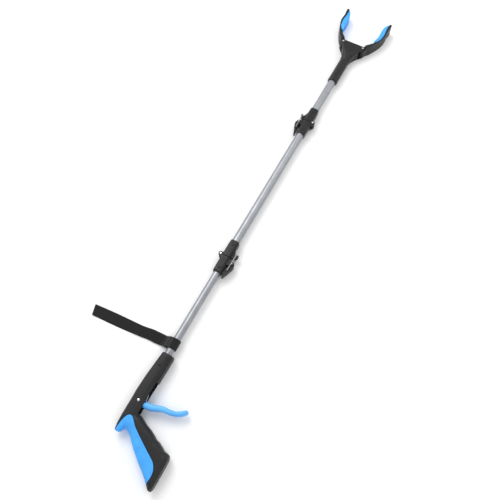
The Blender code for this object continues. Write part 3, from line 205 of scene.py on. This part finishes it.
def metal(name, colour, roughness=0.3, along=(1, 1, 1), scratch=0.00002, edge=1.15,
          tarnish=0.12):
    """Drawn or turned metal with fine lines along one direction."""
    made, nodes, links = new_material(name)
    shader = nodes["Principled BSDF"]
    shader.inputs["Metallic"].default_value = 1.0
    lines_place = place_of(nodes, links, along)
    place = place_of(nodes, links)
    lines = noise(nodes, links, lines_place, 1.0, 5, 0.7)
    cloud = noise(nodes, links, place, 55, 4)
    dark = tuple(c * (1 - tarnish) for c in colour)
    light = tuple(min(c * 1.05, 1.0) for c in colour)
    base = mixed(nodes, links, ranged(nodes, links, cloud, 0.3, 0.7), dark, light)
    base = mixed(nodes, links, ranged(nodes, links, lines, 0.42, 0.7, 0.0, 0.35), base,
                 tuple(c * 0.86 for c in colour))
    rub = worn_edges(nodes, links)
    base = mixed(nodes, links, rub, base, tuple(min(c * edge, 1.0) for c in colour))
    links.new(base, shader.inputs["Base Color"])
    rough = ranged(nodes, links, lines, 0.3, 0.7, roughness - 0.07, roughness + 0.09)
    smear = ranged(nodes, links, noise(nodes, links, place, 130, 5), 0.35, 0.7, -0.03, 0.06)
    links.new(maths(nodes, links, "ADD", rough, smear), shader.inputs["Roughness"])
    normal = bumped(nodes, links, lines, 0.35, scratch)
    links.new(normal, shader.inputs["Normal"])
    return made


def woven(name, colour):
    """Narrow webbing: chevron ribs along the strap, crossed by the weft, coloured with painted
    shade in the weave's valleys and a painted highlight on its ridges.
    """
    made, nodes, links = new_material(name)
    shader = nodes["Principled BSDF"]
    weave = nodes.new("ShaderNodeAttribute")
    weave.attribute_name = "weave"
    split = nodes.new("ShaderNodeSeparateXYZ")
    links.new(weave.outputs["Vector"], split.inputs[0])
    along, across = split.outputs["X"], split.outputs["Y"]
    turn = 2 * math.pi
    zigzag = maths(nodes, links, "PINGPONG", across, 2.5 * MM)
    slanted = maths(nodes, links, "ADD", along, zigzag)
    twill = maths(nodes, links, "SINE", maths(nodes, links, "MULTIPLY", slanted,
                                              turn / (1.25 * MM)), 0.0)
    warp = maths(nodes, links, "SINE", maths(nodes, links, "MULTIPLY", across,
                                             turn / (0.62 * MM)), 0.0)
    height = maths(nodes, links, "ADD", maths(nodes, links, "MULTIPLY", twill, 0.6),
                   maths(nodes, links, "MULTIPLY", warp, 0.4))
    lint = noise(nodes, links, place_of(nodes, links), 1500, 3)
    # painted shade in the weave's valleys and painted highlight on its ridges: the colour
    # follows the weave's height
    base = mixed(nodes, links, ranged(nodes, links, height, -0.8, 0.8),
                 tuple(c * 0.5 for c in colour), tuple(c * 1.35 for c in colour))
    base = mixed(nodes, links, ranged(nodes, links, lint, 0.6, 0.8, 0.0, 0.35), base,
                 tuple(c * 2.4 for c in colour))
    links.new(base, shader.inputs["Base Color"])
    links.new(ranged(nodes, links, height, -1.0, 1.0, 0.92, 0.72), shader.inputs["Roughness"])
    normal = bumped(nodes, links, height, 0.9, 0.00016)
    normal = bumped(nodes, links, lint, 0.4, 0.00005, normal)
    links.new(normal, shader.inputs["Normal"])
    shader.inputs["Specular IOR Level"].default_value = 0.2
    shader.inputs["Sheen Weight"].default_value = 0.12
    shader.inputs["Sheen Roughness"].default_value = 0.5
    return made


BLACK_HANDLE = moulded("handle_black", (0.012, 0.012, 0.013), 0.42, shine=0.30)
BLACK_HEAD = moulded("head_black", (0.011, 0.011, 0.012), 0.42, shine=0.30)
BLACK_JOINT = moulded("joint_black", (0.008, 0.008, 0.009), 0.38, shine=0.30)
BLUE_PALM = moulded("palm_blue", (0.048, 0.36, 0.90), 0.52, 0.00004, 2000, 1.05, speckle=0.5)
BLUE_PAD = moulded("pad_blue", (0.045, 0.34, 0.88), 0.50, 0.00004, 2200, 1.05)
BLUE_TRIGGER = moulded("trigger_blue", (0.085, 0.40, 0.93), 0.33, 0.00002, 2400, 1.1,
                       coat=0.15)
TUBE_METAL = metal("tube_aluminium", (0.34, 0.35, 0.375), 0.44, (25, 1500, 1500))
PIN_METAL = metal("pin_steel", (0.76, 0.76, 0.78), 0.22, (700, 700, 60), 0.00001)
WIRE_METAL = metal("wire_steel", (0.36, 0.36, 0.38), 0.34, (900, 900, 90), 0.00001)
SCREW_METAL = metal("screw_zinc", (0.62, 0.61, 0.60), 0.30, (900, 900, 90), 0.00002, 1.2, 0.2)
CABLE_METAL = metal("cable_steel", (0.56, 0.56, 0.58), 0.34, (300, 2600, 2600), 0.00006)
YOKE_BLACK = metal("yoke_black", (0.06, 0.06, 0.062), 0.42, (400, 400, 400))
BLACK_WEBBING = woven("strap_webbing", (0.013, 0.013, 0.014))
THREAD = moulded("strap_thread", (0.028, 0.028, 0.030), 0.7, 0.00003, 3500, shine=0.2)


# ================================================================ mesh helpers
def link(name, mesh):
    made = bpy.data.objects.new(name, mesh)
    bpy.context.scene.collection.objects.link(made)
    return made


def settle(made):
    """The object with its modifiers applied to its mesh."""
    bpy.context.view_layer.update()
    graph = bpy.context.evaluated_depsgraph_get()
    mesh = bpy.data.meshes.new_from_object(made.evaluated_get(graph))
    made.modifiers.clear()
    old = made.data
    made.data = mesh
    bpy.data.meshes.remove(old)
    return made


def dress(made, finish, node, body=None, stands_for=None, smooth=None):
    """Finish a piece: its material, its body and the CAD nodes that it stands for."""
    made.data.materials.clear()
    made.data.materials.append(finish)
    made.data.shade_smooth()
    if smooth is not None:
        made.data.set_sharp_from_angle(angle=math.radians(smooth))
    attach(made, body or BODY_OF[node])
    if stands_for is None:
        stands_for = (node,)
    if stands_for:
        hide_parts(*stands_for)
    return made


def welded(node):
    """A CAD node's mesh as one welded bmesh."""
    shape = bmesh.new()
    shape.from_mesh(NODES[node].data)
    bmesh.ops.remove_doubles(shape, verts=shape.verts, dist=0.000004)
    return shape


def cut(made, other):
    step = made.modifiers.new("cut", "BOOLEAN")
    step.object = other
    step.solver = "EXACT"


def refined(node, voxel, passes, faces=None):
    """A CAD node's shape on a fine mesh, with its edges rounded as moulding leaves them."""
    shape = welded(node)
    mesh = bpy.data.meshes.new(node + "_fine")
    shape.to_mesh(mesh)
    shape.free()
    made = link(node + "_fine", mesh)
    remesh = made.modifiers.new("fine", "REMESH")
    remesh.mode = "VOXEL"
    remesh.voxel_size = voxel
    remesh.use_smooth_shade = True
    relax = made.modifiers.new("relax", "SMOOTH")
    relax.factor = 0.5
    relax.iterations = passes
    settle(made)
    if faces is not None and len(made.data.polygons) > faces:
        fewer = made.modifiers.new("fewer", "DECIMATE")
        fewer.ratio = faces / len(made.data.polygons) / 2
        settle(made)
    return made


def lathe(name, profile, place, axis="Z", sides=64):
    """A solid of revolution; the profile is (radius, height) from one end to the other."""
    shape = bmesh.new()
    rings = []
    for radius, height in profile:
        if radius < 1e-7:
            rings.append([shape.verts.new((0, 0, height))])
            continue
        rings.append([shape.verts.new((radius * math.cos(2 * math.pi * i / sides),
                                       radius * math.sin(2 * math.pi * i / sides), height))
                      for i in range(sides)])
    for first, second in zip(rings, rings[1:]):
        for i in range(sides):
            after = (i + 1) % sides
            corners = [first[i % len(first)], first[after % len(first)],
                       second[after % len(second)], second[i % len(second)]]
            unique = list(dict.fromkeys(corners))
            if len(unique) > 2:
                shape.faces.new(unique)
    bmesh.ops.recalc_face_normals(shape, faces=shape.faces)
    if axis == "X":
        bmesh.ops.transform(shape, verts=shape.verts,
                            matrix=Matrix.Rotation(math.radians(90), 4, "Y"))
    bmesh.ops.translate(shape, verts=shape.verts, vec=Vector(place))
    mesh = bpy.data.meshes.new(name)
    shape.to_mesh(mesh)
    shape.free()
    return link(name, mesh)


def brick(name, low, high, turn=0.0, about=(0, 0, 0)):
    """A block used to cut with, turned about Z."""
    shape = bmesh.new()
    bmesh.ops.create_cube(shape, size=1.0)
    low, high = Vector(low), Vector(high)
    for vertex in shape.verts:
        vertex.co = Vector(c * (h - l) + (h + l) / 2 for c, l, h in zip(vertex.co, low, high))
    bmesh.ops.rotate(shape, verts=shape.verts, cent=Vector(about),
                     matrix=Matrix.Rotation(turn, 3, "Z"))
    mesh = bpy.data.meshes.new(name)
    shape.to_mesh(mesh)
    shape.free()
    return link(name, mesh)


def discard(*objects):
    for made in objects:
        bpy.data.objects.remove(made, do_unlink=True)


def read_mesh(mesh):
    """Places and normals of a mesh's vertices, as two arrays."""
    places = np.empty(len(mesh.vertices) * 3)
    normals = np.empty(len(mesh.vertices) * 3)
    mesh.vertices.foreach_get("co", places)
    mesh.vertex_normals.foreach_get("vector", normals)
    return places.reshape(-1, 3), normals.reshape(-1, 3)


def dotted(made):
    """Sink a face-on surface between rows of small round dots."""
    places, normals = read_mesh(made.data)
    row = DOT_PITCH * math.sqrt(3)
    nearest = np.full(len(places), DOT_PITCH)
    for shift in (0.0, 0.5):
        x = (places[:, 0] / DOT_PITCH + shift + 0.5) % 1.0 - 0.5
        y = (places[:, 1] / row + shift + 0.5) % 1.0 - 0.5
        nearest = np.minimum(nearest, np.hypot(x * DOT_PITCH, y * row))
    dome = np.clip(1.15 - (nearest / (0.85 * MM)) ** 2, 0.0, 1.0)
    face_on = np.clip((np.abs(normals[:, 2]) - 0.9) / 0.08, 0.0, 1.0)
    places[:, 2] -= np.sign(normals[:, 2]) * DOT_DEPTH * face_on * (1.0 - dome)
    made.data.vertices.foreach_set("co", places.ravel())


def ringed(made, x, depth=0.35 * MM, half=0.55 * MM):
    """Press a shallow groove into the outside of a piece, all round the shaft's axis."""
    places, normals = read_mesh(made.data)
    from_axis = places * (0, 1, 1) - (0, 0, SHAFT_Z)
    from_axis /= np.maximum(np.linalg.norm(from_axis, axis=1), 1e-6)[:, None]
    outward = np.clip((np.sum(from_axis * normals, axis=1) - 0.4) / 0.3, 0.0, 1.0)
    press = depth * outward * np.exp(-((places[:, 0] - x) / half) ** 2)
    places -= from_axis * press[:, None]
    made.data.vertices.foreach_set("co", places.ravel())


# ================================================================ moulded pieces
def moulded_pieces():
    plan = (
        # node, voxel, smoothing passes, most faces, finish
        ("trigger", 0.34, 10, 60000, BLUE_TRIGGER),
        ("palm_inlay_top", 0.42, 7, 60000, BLUE_PALM),
        ("palm_inlay_bottom", 0.42, 7, 60000, BLUE_PALM),
        ("head_housing_top", 0.42, 7, 70000, BLACK_HEAD),
        ("head_housing_bottom", 0.42, 7, 70000, BLACK_HEAD),
        ("jaw_arm_left", 0.36, 7, 60000, BLACK_HEAD),
        ("jaw_arm_right", 0.36, 7, 60000, BLACK_HEAD),
        ("lower_joint_base", 0.26, 4, 60000, BLACK_JOINT),
        ("lower_joint_cap", 0.26, 4, 60000, BLACK_JOINT),
        ("upper_joint_base", 0.26, 4, 60000, BLACK_JOINT),
        ("upper_joint_cap", 0.26, 4, 60000, BLACK_JOINT),
        ("lower_latch_lever", 0.22, 6, 30000, BLACK_JOINT),
        ("upper_latch_lever", 0.22, 6, 30000, BLACK_JOINT),
        ("lower_latch_bail", 0.16, 4, 20000, WIRE_METAL),
        ("upper_latch_bail", 0.16, 4, 20000, WIRE_METAL),
        ("handle_shell_top", 0.5, 7, 110000, BLACK_HANDLE),
        ("handle_shell_bottom", 0.5, 7, 110000, BLACK_HANDLE),
    )
    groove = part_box("handle_shell_top")[1].x - GROOVE_FROM_MOUTH
    for node, voxel, passes, faces, finish in plan:
        made = refined(node, voxel * MM, passes, faces)
        if node.startswith("palm_inlay"):
            dotted(made)
        if node.startswith("handle_shell"):
            ringed(made, groove)
        dress(made, finish, node)


def pads():
    """The jaws' soft pads, ribbed across their gripping face."""
    for side, word in ((1, "left"), (-1, "right")):
        node = "jaw_pad_" + word
        made = refined(node, 0.36 * MM, 7)
        low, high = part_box(node)
        span = (low.x + 6 * MM, high.x - 4 * MM)
        for vertex in made.data.vertices:
            inward = max(-side * vertex.normal.y, 0.0)
            if inward < 0.3:
                continue
            edge = min(vertex.co.x - span[0], span[1] - vertex.co.x) / (3 * MM)
            depth = min(SHAFT_Z * 2 - 1.5 * MM - vertex.co.z, vertex.co.z - 1.5 * MM)
            fade = max(min(edge, 1.0), 0.0) * max(min(depth / (2 * MM), 1.0), 0.0)
            wave = 0.5 + 0.5 * math.cos(2 * math.pi * (vertex.co.x - low.x) / RIB_PITCH)
            vertex.co.y += side * RIB_DEPTH * fade * wave ** 2
        dress(made, BLUE_PAD, node)


# ================================================================ metal pieces
def tubes():
    for node in ("handle_tube", "middle_tube", "head_tube"):
        low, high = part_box(node)
        outer = (high.z - low.z) / 2
        bore = outer - TUBE_WALL
        lip = 0.25 * MM
        length = high.x - low.x
        profile = [(bore, lip), (bore + lip, 0), (outer - lip, 0), (outer, lip)]
        count = 12
        profile += [(outer, lip + (length - 2 * lip) * i / count) for i in range(1, count)]
        profile += [(outer, length - lip), (outer - lip, length), (bore + lip, length),
                    (bore, length - lip), (bore, lip)]
        made = lathe(node + "_drawn", profile, (low.x, 0, SHAFT_Z), "X", 96)
        shape = bmesh.new()
        shape.from_mesh(made.data)
        bmesh.ops.remove_doubles(shape, verts=shape.verts, dist=0.000002)
        shape.to_mesh(made.data)
        shape.free()
        dress(made, TUBE_METAL, node, smooth=30)


def pins():
    """Turned pins with chamfered, slightly domed ends."""
    for node in ("trigger_pin", "jaw_pin_left", "jaw_pin_right", "lower_hinge_pin",
                 "upper_hinge_pin", "lower_latch_pin", "upper_latch_pin"):
        low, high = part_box(node)
        radius = (high.x - low.x) / 2
        length = high.z - low.z
        nose = 0.35 * MM
        profile = [(0, 0.0), (radius * 0.55, 0.02 * MM), (radius - nose, 0.08 * MM),
                   (radius - nose * 0.3, nose * 0.5), (radius, nose * 1.2)]
        profile += [(r, length - h) for r, h in reversed(profile)]
        middle = (low + high) / 2
        made = lathe(node + "_turned", profile, (middle.x, middle.y, low.z))
        dress(made, PIN_METAL, node, smooth=50)


def rivets():
    """Blackened rivets with a domed head."""
    for node in ("barrel_rivet", "head_rivet", "lower_base_rivet", "lower_cap_rivet",
                 "upper_base_rivet", "upper_cap_rivet"):
        low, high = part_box(node)
        middle = (low + high) / 2
        head = (high.x - low.x) / 2
        shank = head * 0.62
        top = high.z - low.z
        seat = top - RIVET_DOME
        profile = [(0, 0.0), (shank - 0.2 * MM, 0.0), (shank, 0.2 * MM), (shank, seat),
                   (head - 0.15 * MM, seat), (head, seat + 0.12 * MM)]
        for step in range(1, 7):
            angle = math.radians(15 * step)
            profile.append((head * math.cos(angle) if step < 6 else 0.0,
                            seat + 0.14 * MM + (top - seat - 0.14 * MM) * math.sin(angle)))
        made = lathe(node + "_headed", profile, (middle.x, middle.y, low.z), sides=48)
        dress(made, BLACK_JOINT, node, smooth=50)


def screws():
    """Pan-head screws with a cross recess, sunk in their counterbores."""
    for node in [name for name in sorted(NODES) if "_screw_" in name]:
        low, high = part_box(node)
        middle = (low + high) / 2
        head = (high.x - low.x) / 2
        shank = SCREW_SHANK
        length = high.z - low.z
        thick = SCREW_HEAD
        profile = [(0, 0.05 * MM), (head * 0.45, 0.1 * MM), (head * 0.8, 0.45 * MM),
                   (head * 0.97, 1.1 * MM), (head, 1.6 * MM), (head, thick - 0.1 * MM),
                   (head - 0.1 * MM, thick), (shank, thick)]
        turns = int((length - thick - 1.2 * MM) / SCREW_PITCH)
        for i in range(turns):
            start = thick + 0.4 * MM + i * SCREW_PITCH
            profile += [(shank * 0.8, start), (shank, start + SCREW_PITCH * 0.5)]
        profile += [(shank * 0.7, length - 0.5 * MM), (0, length)]
        made = lathe(node + "_threaded", profile, (middle.x, middle.y, low.z), sides=48)
        cross = [brick(node + "_cross_%d" % i,
                       (middle.x - 1.7 * MM, middle.y - 0.4 * MM, low.z - 1 * MM),
                       (middle.x + 1.7 * MM, middle.y + 0.4 * MM, low.z + 1.3 * MM),
                       math.radians(20 + 90 * i), (middle.x, middle.y, 0)) for i in (0, 1)]
        for block in cross:
            cut(made, block)
        settle(made)
        discard(*cross)
        dress(made, SCREW_METAL, node, smooth=35)


def inner_workings():
    """The cable, nipple, ferrule, yoke and spring."""
    dress(refined("yoke", 0.25 * MM, 3, 24000), YOKE_BLACK, "yoke")
    for node, voxel in (("cable_nipple", 0.2), ("cable_ferrule", 0.16), ("return_spring", 0.14)):
        dress(refined(node, voxel * MM, 3, 24000), CABLE_METAL, node)
    for node in ("cable_handle_run", "cable_middle_run", "cable_head_run"):
        made = NODES[node]
        made.data.materials.clear()
        made.data.materials.append(CABLE_METAL)


# ================================================================ wrist strap
def loop_path():
    """The closed line (y, z) through the middle of the webbing, and its knots."""
    low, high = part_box("wrist_strap")
    ring = (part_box("handle_tube")[1].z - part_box("handle_tube")[0].z) / 2 + 1.5 * MM
    end = high.y - STRAP_LAYER
    bottom = low.z + STRAP_LAYER / 2
    top = bottom + STRAP_LAYER + 0.35 * MM
    knots = [(end, (bottom + top) / 2), (end - 0.8 * MM, top + 0.1 * MM)]
    knots += [(y, top) for y in np.linspace(end - 6 * MM, 34 * MM, 16)]
    knots += [(27 * MM, top + 0.2 * MM), (21.5 * MM, top + 2.2 * MM),
              (17 * MM, top + 6.0 * MM), (13 * MM, SHAFT_Z - 0.5 * MM)]
    for angle in np.radians(np.linspace(38, 250, 17)):
        knots.append((ring * math.cos(angle), SHAFT_Z + ring * math.sin(angle)))
    knots += [(0.5 * MM, SHAFT_Z - ring - 0.3 * MM), (6 * MM, 3.6 * MM), (13 * MM, 1.9 * MM),
              (21 * MM, bottom + 0.2 * MM), (28 * MM, bottom)]
    knots += [(y, bottom) for y in np.linspace(36 * MM, end - 6 * MM, 15)]
    knots += [(end - 0.8 * MM, bottom)]
    return [Vector((float(y), float(z))) for y, z in knots]


def closed_curve(knots, per_span):
    """A Catmull-Rom curve round the closed line of knots."""
    line, count = [], len(knots)
    for i in range(count):
        p0, p1, p2, p3 = (knots[(i + k) % count] for k in (-1, 0, 1, 2))
        for step in range(per_span):
            t = step / per_span
            line.append(0.5 * (2 * p1 + (p2 - p0) * t + (2 * p0 - 5 * p1 + 4 * p2 - p3) * t * t
                               + (3 * p1 - p0 - 3 * p2 + p3) * t ** 3))
    return line


def laid(way, across, y, loop):
    """Where a point of the webbing lies (x, y), with its slant, wander and slack end.

    The way is the distance along the webbing and across runs from 0 to 1 over its width."""
    start, width, slant, end, length = loop
    free = max(y - 14 * MM, 0.0)
    wander = 1.0 * MM * math.sin(4 * math.pi * way / length + 0.6) * min(free / (20 * MM), 1.0)
    kink = 1.1 * MM * math.exp(-((y - 50 * MM) / (13 * MM)) ** 2)
    skew = 6.0 * MM * (across - 0.5) * max(1 - (end - y) / (60 * MM), 0.0) ** 2
    return start + width * across - slant * free + wander + kink, y + skew


def strap():
    """A doubled black webbing loop around the tube, laid flat beside the tool."""
    low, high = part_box("wrist_strap")
    source = NODES["wrist_strap"].data
    near = [v.co.x for v in source.vertices if v.co.y < 10 * MM]
    start, stop = min(near), max(near)
    width = stop - start
    slant = (start - low.x) / (high.y - 14 * MM)
    line = closed_curve(loop_path(), 4)
    count, columns = len(line), 24
    ways, length = [], 0.0
    for i in range(count):
        ways.append(length)
        length += (line[(i + 1) % count] - line[i]).length
    loop = (start, width, slant, high.y, length)
    shape = bmesh.new()
    store = shape.verts.layers.float_vector.new("weave")
    sides = []
    for face_side in (1, -1):
        rows = []
        for i, point in enumerate(line):
            run = (line[(i + 1) % count] - line[i - 1]).normalized()
            out = Vector((run.y, -run.x))
            row = []
            for j in range(columns + 1):
                across = j / columns
                rounding = 1 - max(abs(2 * across - 1) - 0.9, 0) / 0.1 * 0.55
                place = point + out * face_side * STRAP_LAYER / 2 * rounding
                ripple = 0.10 * MM * math.sin(ways[i] * 95) * math.sin(math.pi * across)
                x, y = laid(ways[i], across, place.x, loop)
                vertex = shape.verts.new((x, y, max(place.y + ripple, 0.32 * MM)))
                vertex[store] = (ways[i], across * width, 0)
                row.append(vertex)
            rows.append(row)
        sides.append(rows)
    for rows in sides:
        for i in range(count):
            for j in range(columns):
                shape.faces.new((rows[i][j], rows[i][j + 1], rows[(i + 1) % count][j + 1],
                                 rows[(i + 1) % count][j]))
    for j in (0, columns):
        for i in range(count):
            after = (i + 1) % count
            shape.faces.new((sides[0][i][j], sides[0][after][j], sides[1][after][j],
                             sides[1][i][j]))
    bmesh.ops.recalc_face_normals(shape, faces=shape.faces)
    mesh = bpy.data.meshes.new("strap_webbing")
    shape.to_mesh(mesh)
    shape.free()
    made = link("strap_webbing", mesh)
    dress(made, BLACK_WEBBING, "wrist_strap")
    top = low.z + 2 * STRAP_LAYER + 0.42 * MM
    seams = stitching(loop, top)


def stitching(loop, top):
    """Box stitches through both layers, beside the tube and at the loop's end."""
    shape = bmesh.new()
    width, end = loop[1], loop[3]
    rows = []
    for near, far in ((31 * MM, 47 * MM), (end - 24 * MM, end - 8 * MM)):
        left, right = STRAP_SEAM, width - STRAP_SEAM
        corners = [(left, near), (right, near), (right, far), (left, far)]
        rows += list(zip(corners, corners[1:] + corners[:1]))
        rows += [(corners[0], corners[2]), (corners[1], corners[3])]
    for first, last in rows:
        first, last = Vector(first), Vector(last)
        run = last - first
        for i in range(int(run.length / STITCH_PITCH)):
            middle = first + run.normalized() * (i + 0.5) * STITCH_PITCH
            turn = math.atan2(run.y, run.x)
            made = bmesh.ops.create_uvsphere(shape, u_segments=8, v_segments=6, radius=1.0)
            x, y = laid(end - middle.y, middle.x / width, middle.y, loop)
            place = (Matrix.Translation((x, y, top))
                     @ Matrix.Rotation(turn, 4, "Z")
                     @ Matrix.Diagonal((STITCH_LENGTH / 2, STITCH_RADIUS, STITCH_RADIUS, 1)))
            bmesh.ops.transform(shape, verts=made["verts"], matrix=place)
    mesh = bpy.data.meshes.new("strap_stitching")
    shape.to_mesh(mesh)
    shape.free()
    made = link("strap_stitching", mesh)
    return dress(made, THREAD, "wrist_strap", stands_for=())


moulded_pieces()
pads()
tubes()
pins()
rivets()
screws()
inner_workings()
strap()


# ================================================================ floor, light and camera
def studio():
    mesh = bpy.data.meshes.new("floor")
    mesh.from_pydata([(-FLOOR_REACH, -FLOOR_REACH, 0), (FLOOR_REACH, -FLOOR_REACH, 0),
                      (FLOOR_REACH, FLOOR_REACH, 0), (-FLOOR_REACH, FLOOR_REACH, 0)],
                     [], [(0, 1, 2, 3)])
    floor = link("floor", mesh)
    finish, nodes, _ = new_material("floor_white")
    shader = nodes["Principled BSDF"]
    shader.inputs["Base Color"].default_value = (0.93, 0.93, 0.93, 1.0)
    shader.inputs["Roughness"].default_value = 0.75
    shader.inputs["Specular IOR Level"].default_value = 0.2
    mesh.materials.append(finish)

    world = bpy.data.worlds.new("studio")
    world.use_nodes = True
    sky = world.node_tree.nodes["Background"]
    sky.inputs["Color"].default_value = (1.0, 1.0, 1.0, 1.0)
    sky.inputs["Strength"].default_value = 0.70
    bpy.context.scene.world = world
    lamps = (("key", (0.9, 1.0, 1.6), 1.4, 24.0), ("fill", (-0.6, -1.2, 1.5), 1.8, 7.0),
             ("rim", (1.4, -0.9, 1.2), 1.0, 6.0))
    for name, place, size, power in lamps:
        light = bpy.data.lights.new(name, "AREA")
        light.size = size
        light.energy = power
        lamp = bpy.data.objects.new(name, light)
        lamp.location = place
        heading = Vector((0.35, 0, 0)) - Vector(place)
        lamp.rotation_euler = heading.to_track_quat("-Z", "Y").to_euler()
        bpy.context.scene.collection.objects.link(lamp)
    bpy.context.scene.view_settings.view_transform = "Standard"

    lens = bpy.data.cameras.new("camera")
    lens.lens = CAMERA_LENS
    lens.sensor_width = CAMERA_SENSOR
    camera = bpy.data.objects.new("camera", lens)
    camera.location = CAMERA_PLACE
    aim = Vector(CAMERA_AIM) - camera.location
    camera.rotation_euler = aim.to_track_quat("-Z", "Y").to_euler()
    bpy.context.scene.collection.objects.link(camera)
    bpy.context.scene.camera = camera


studio()
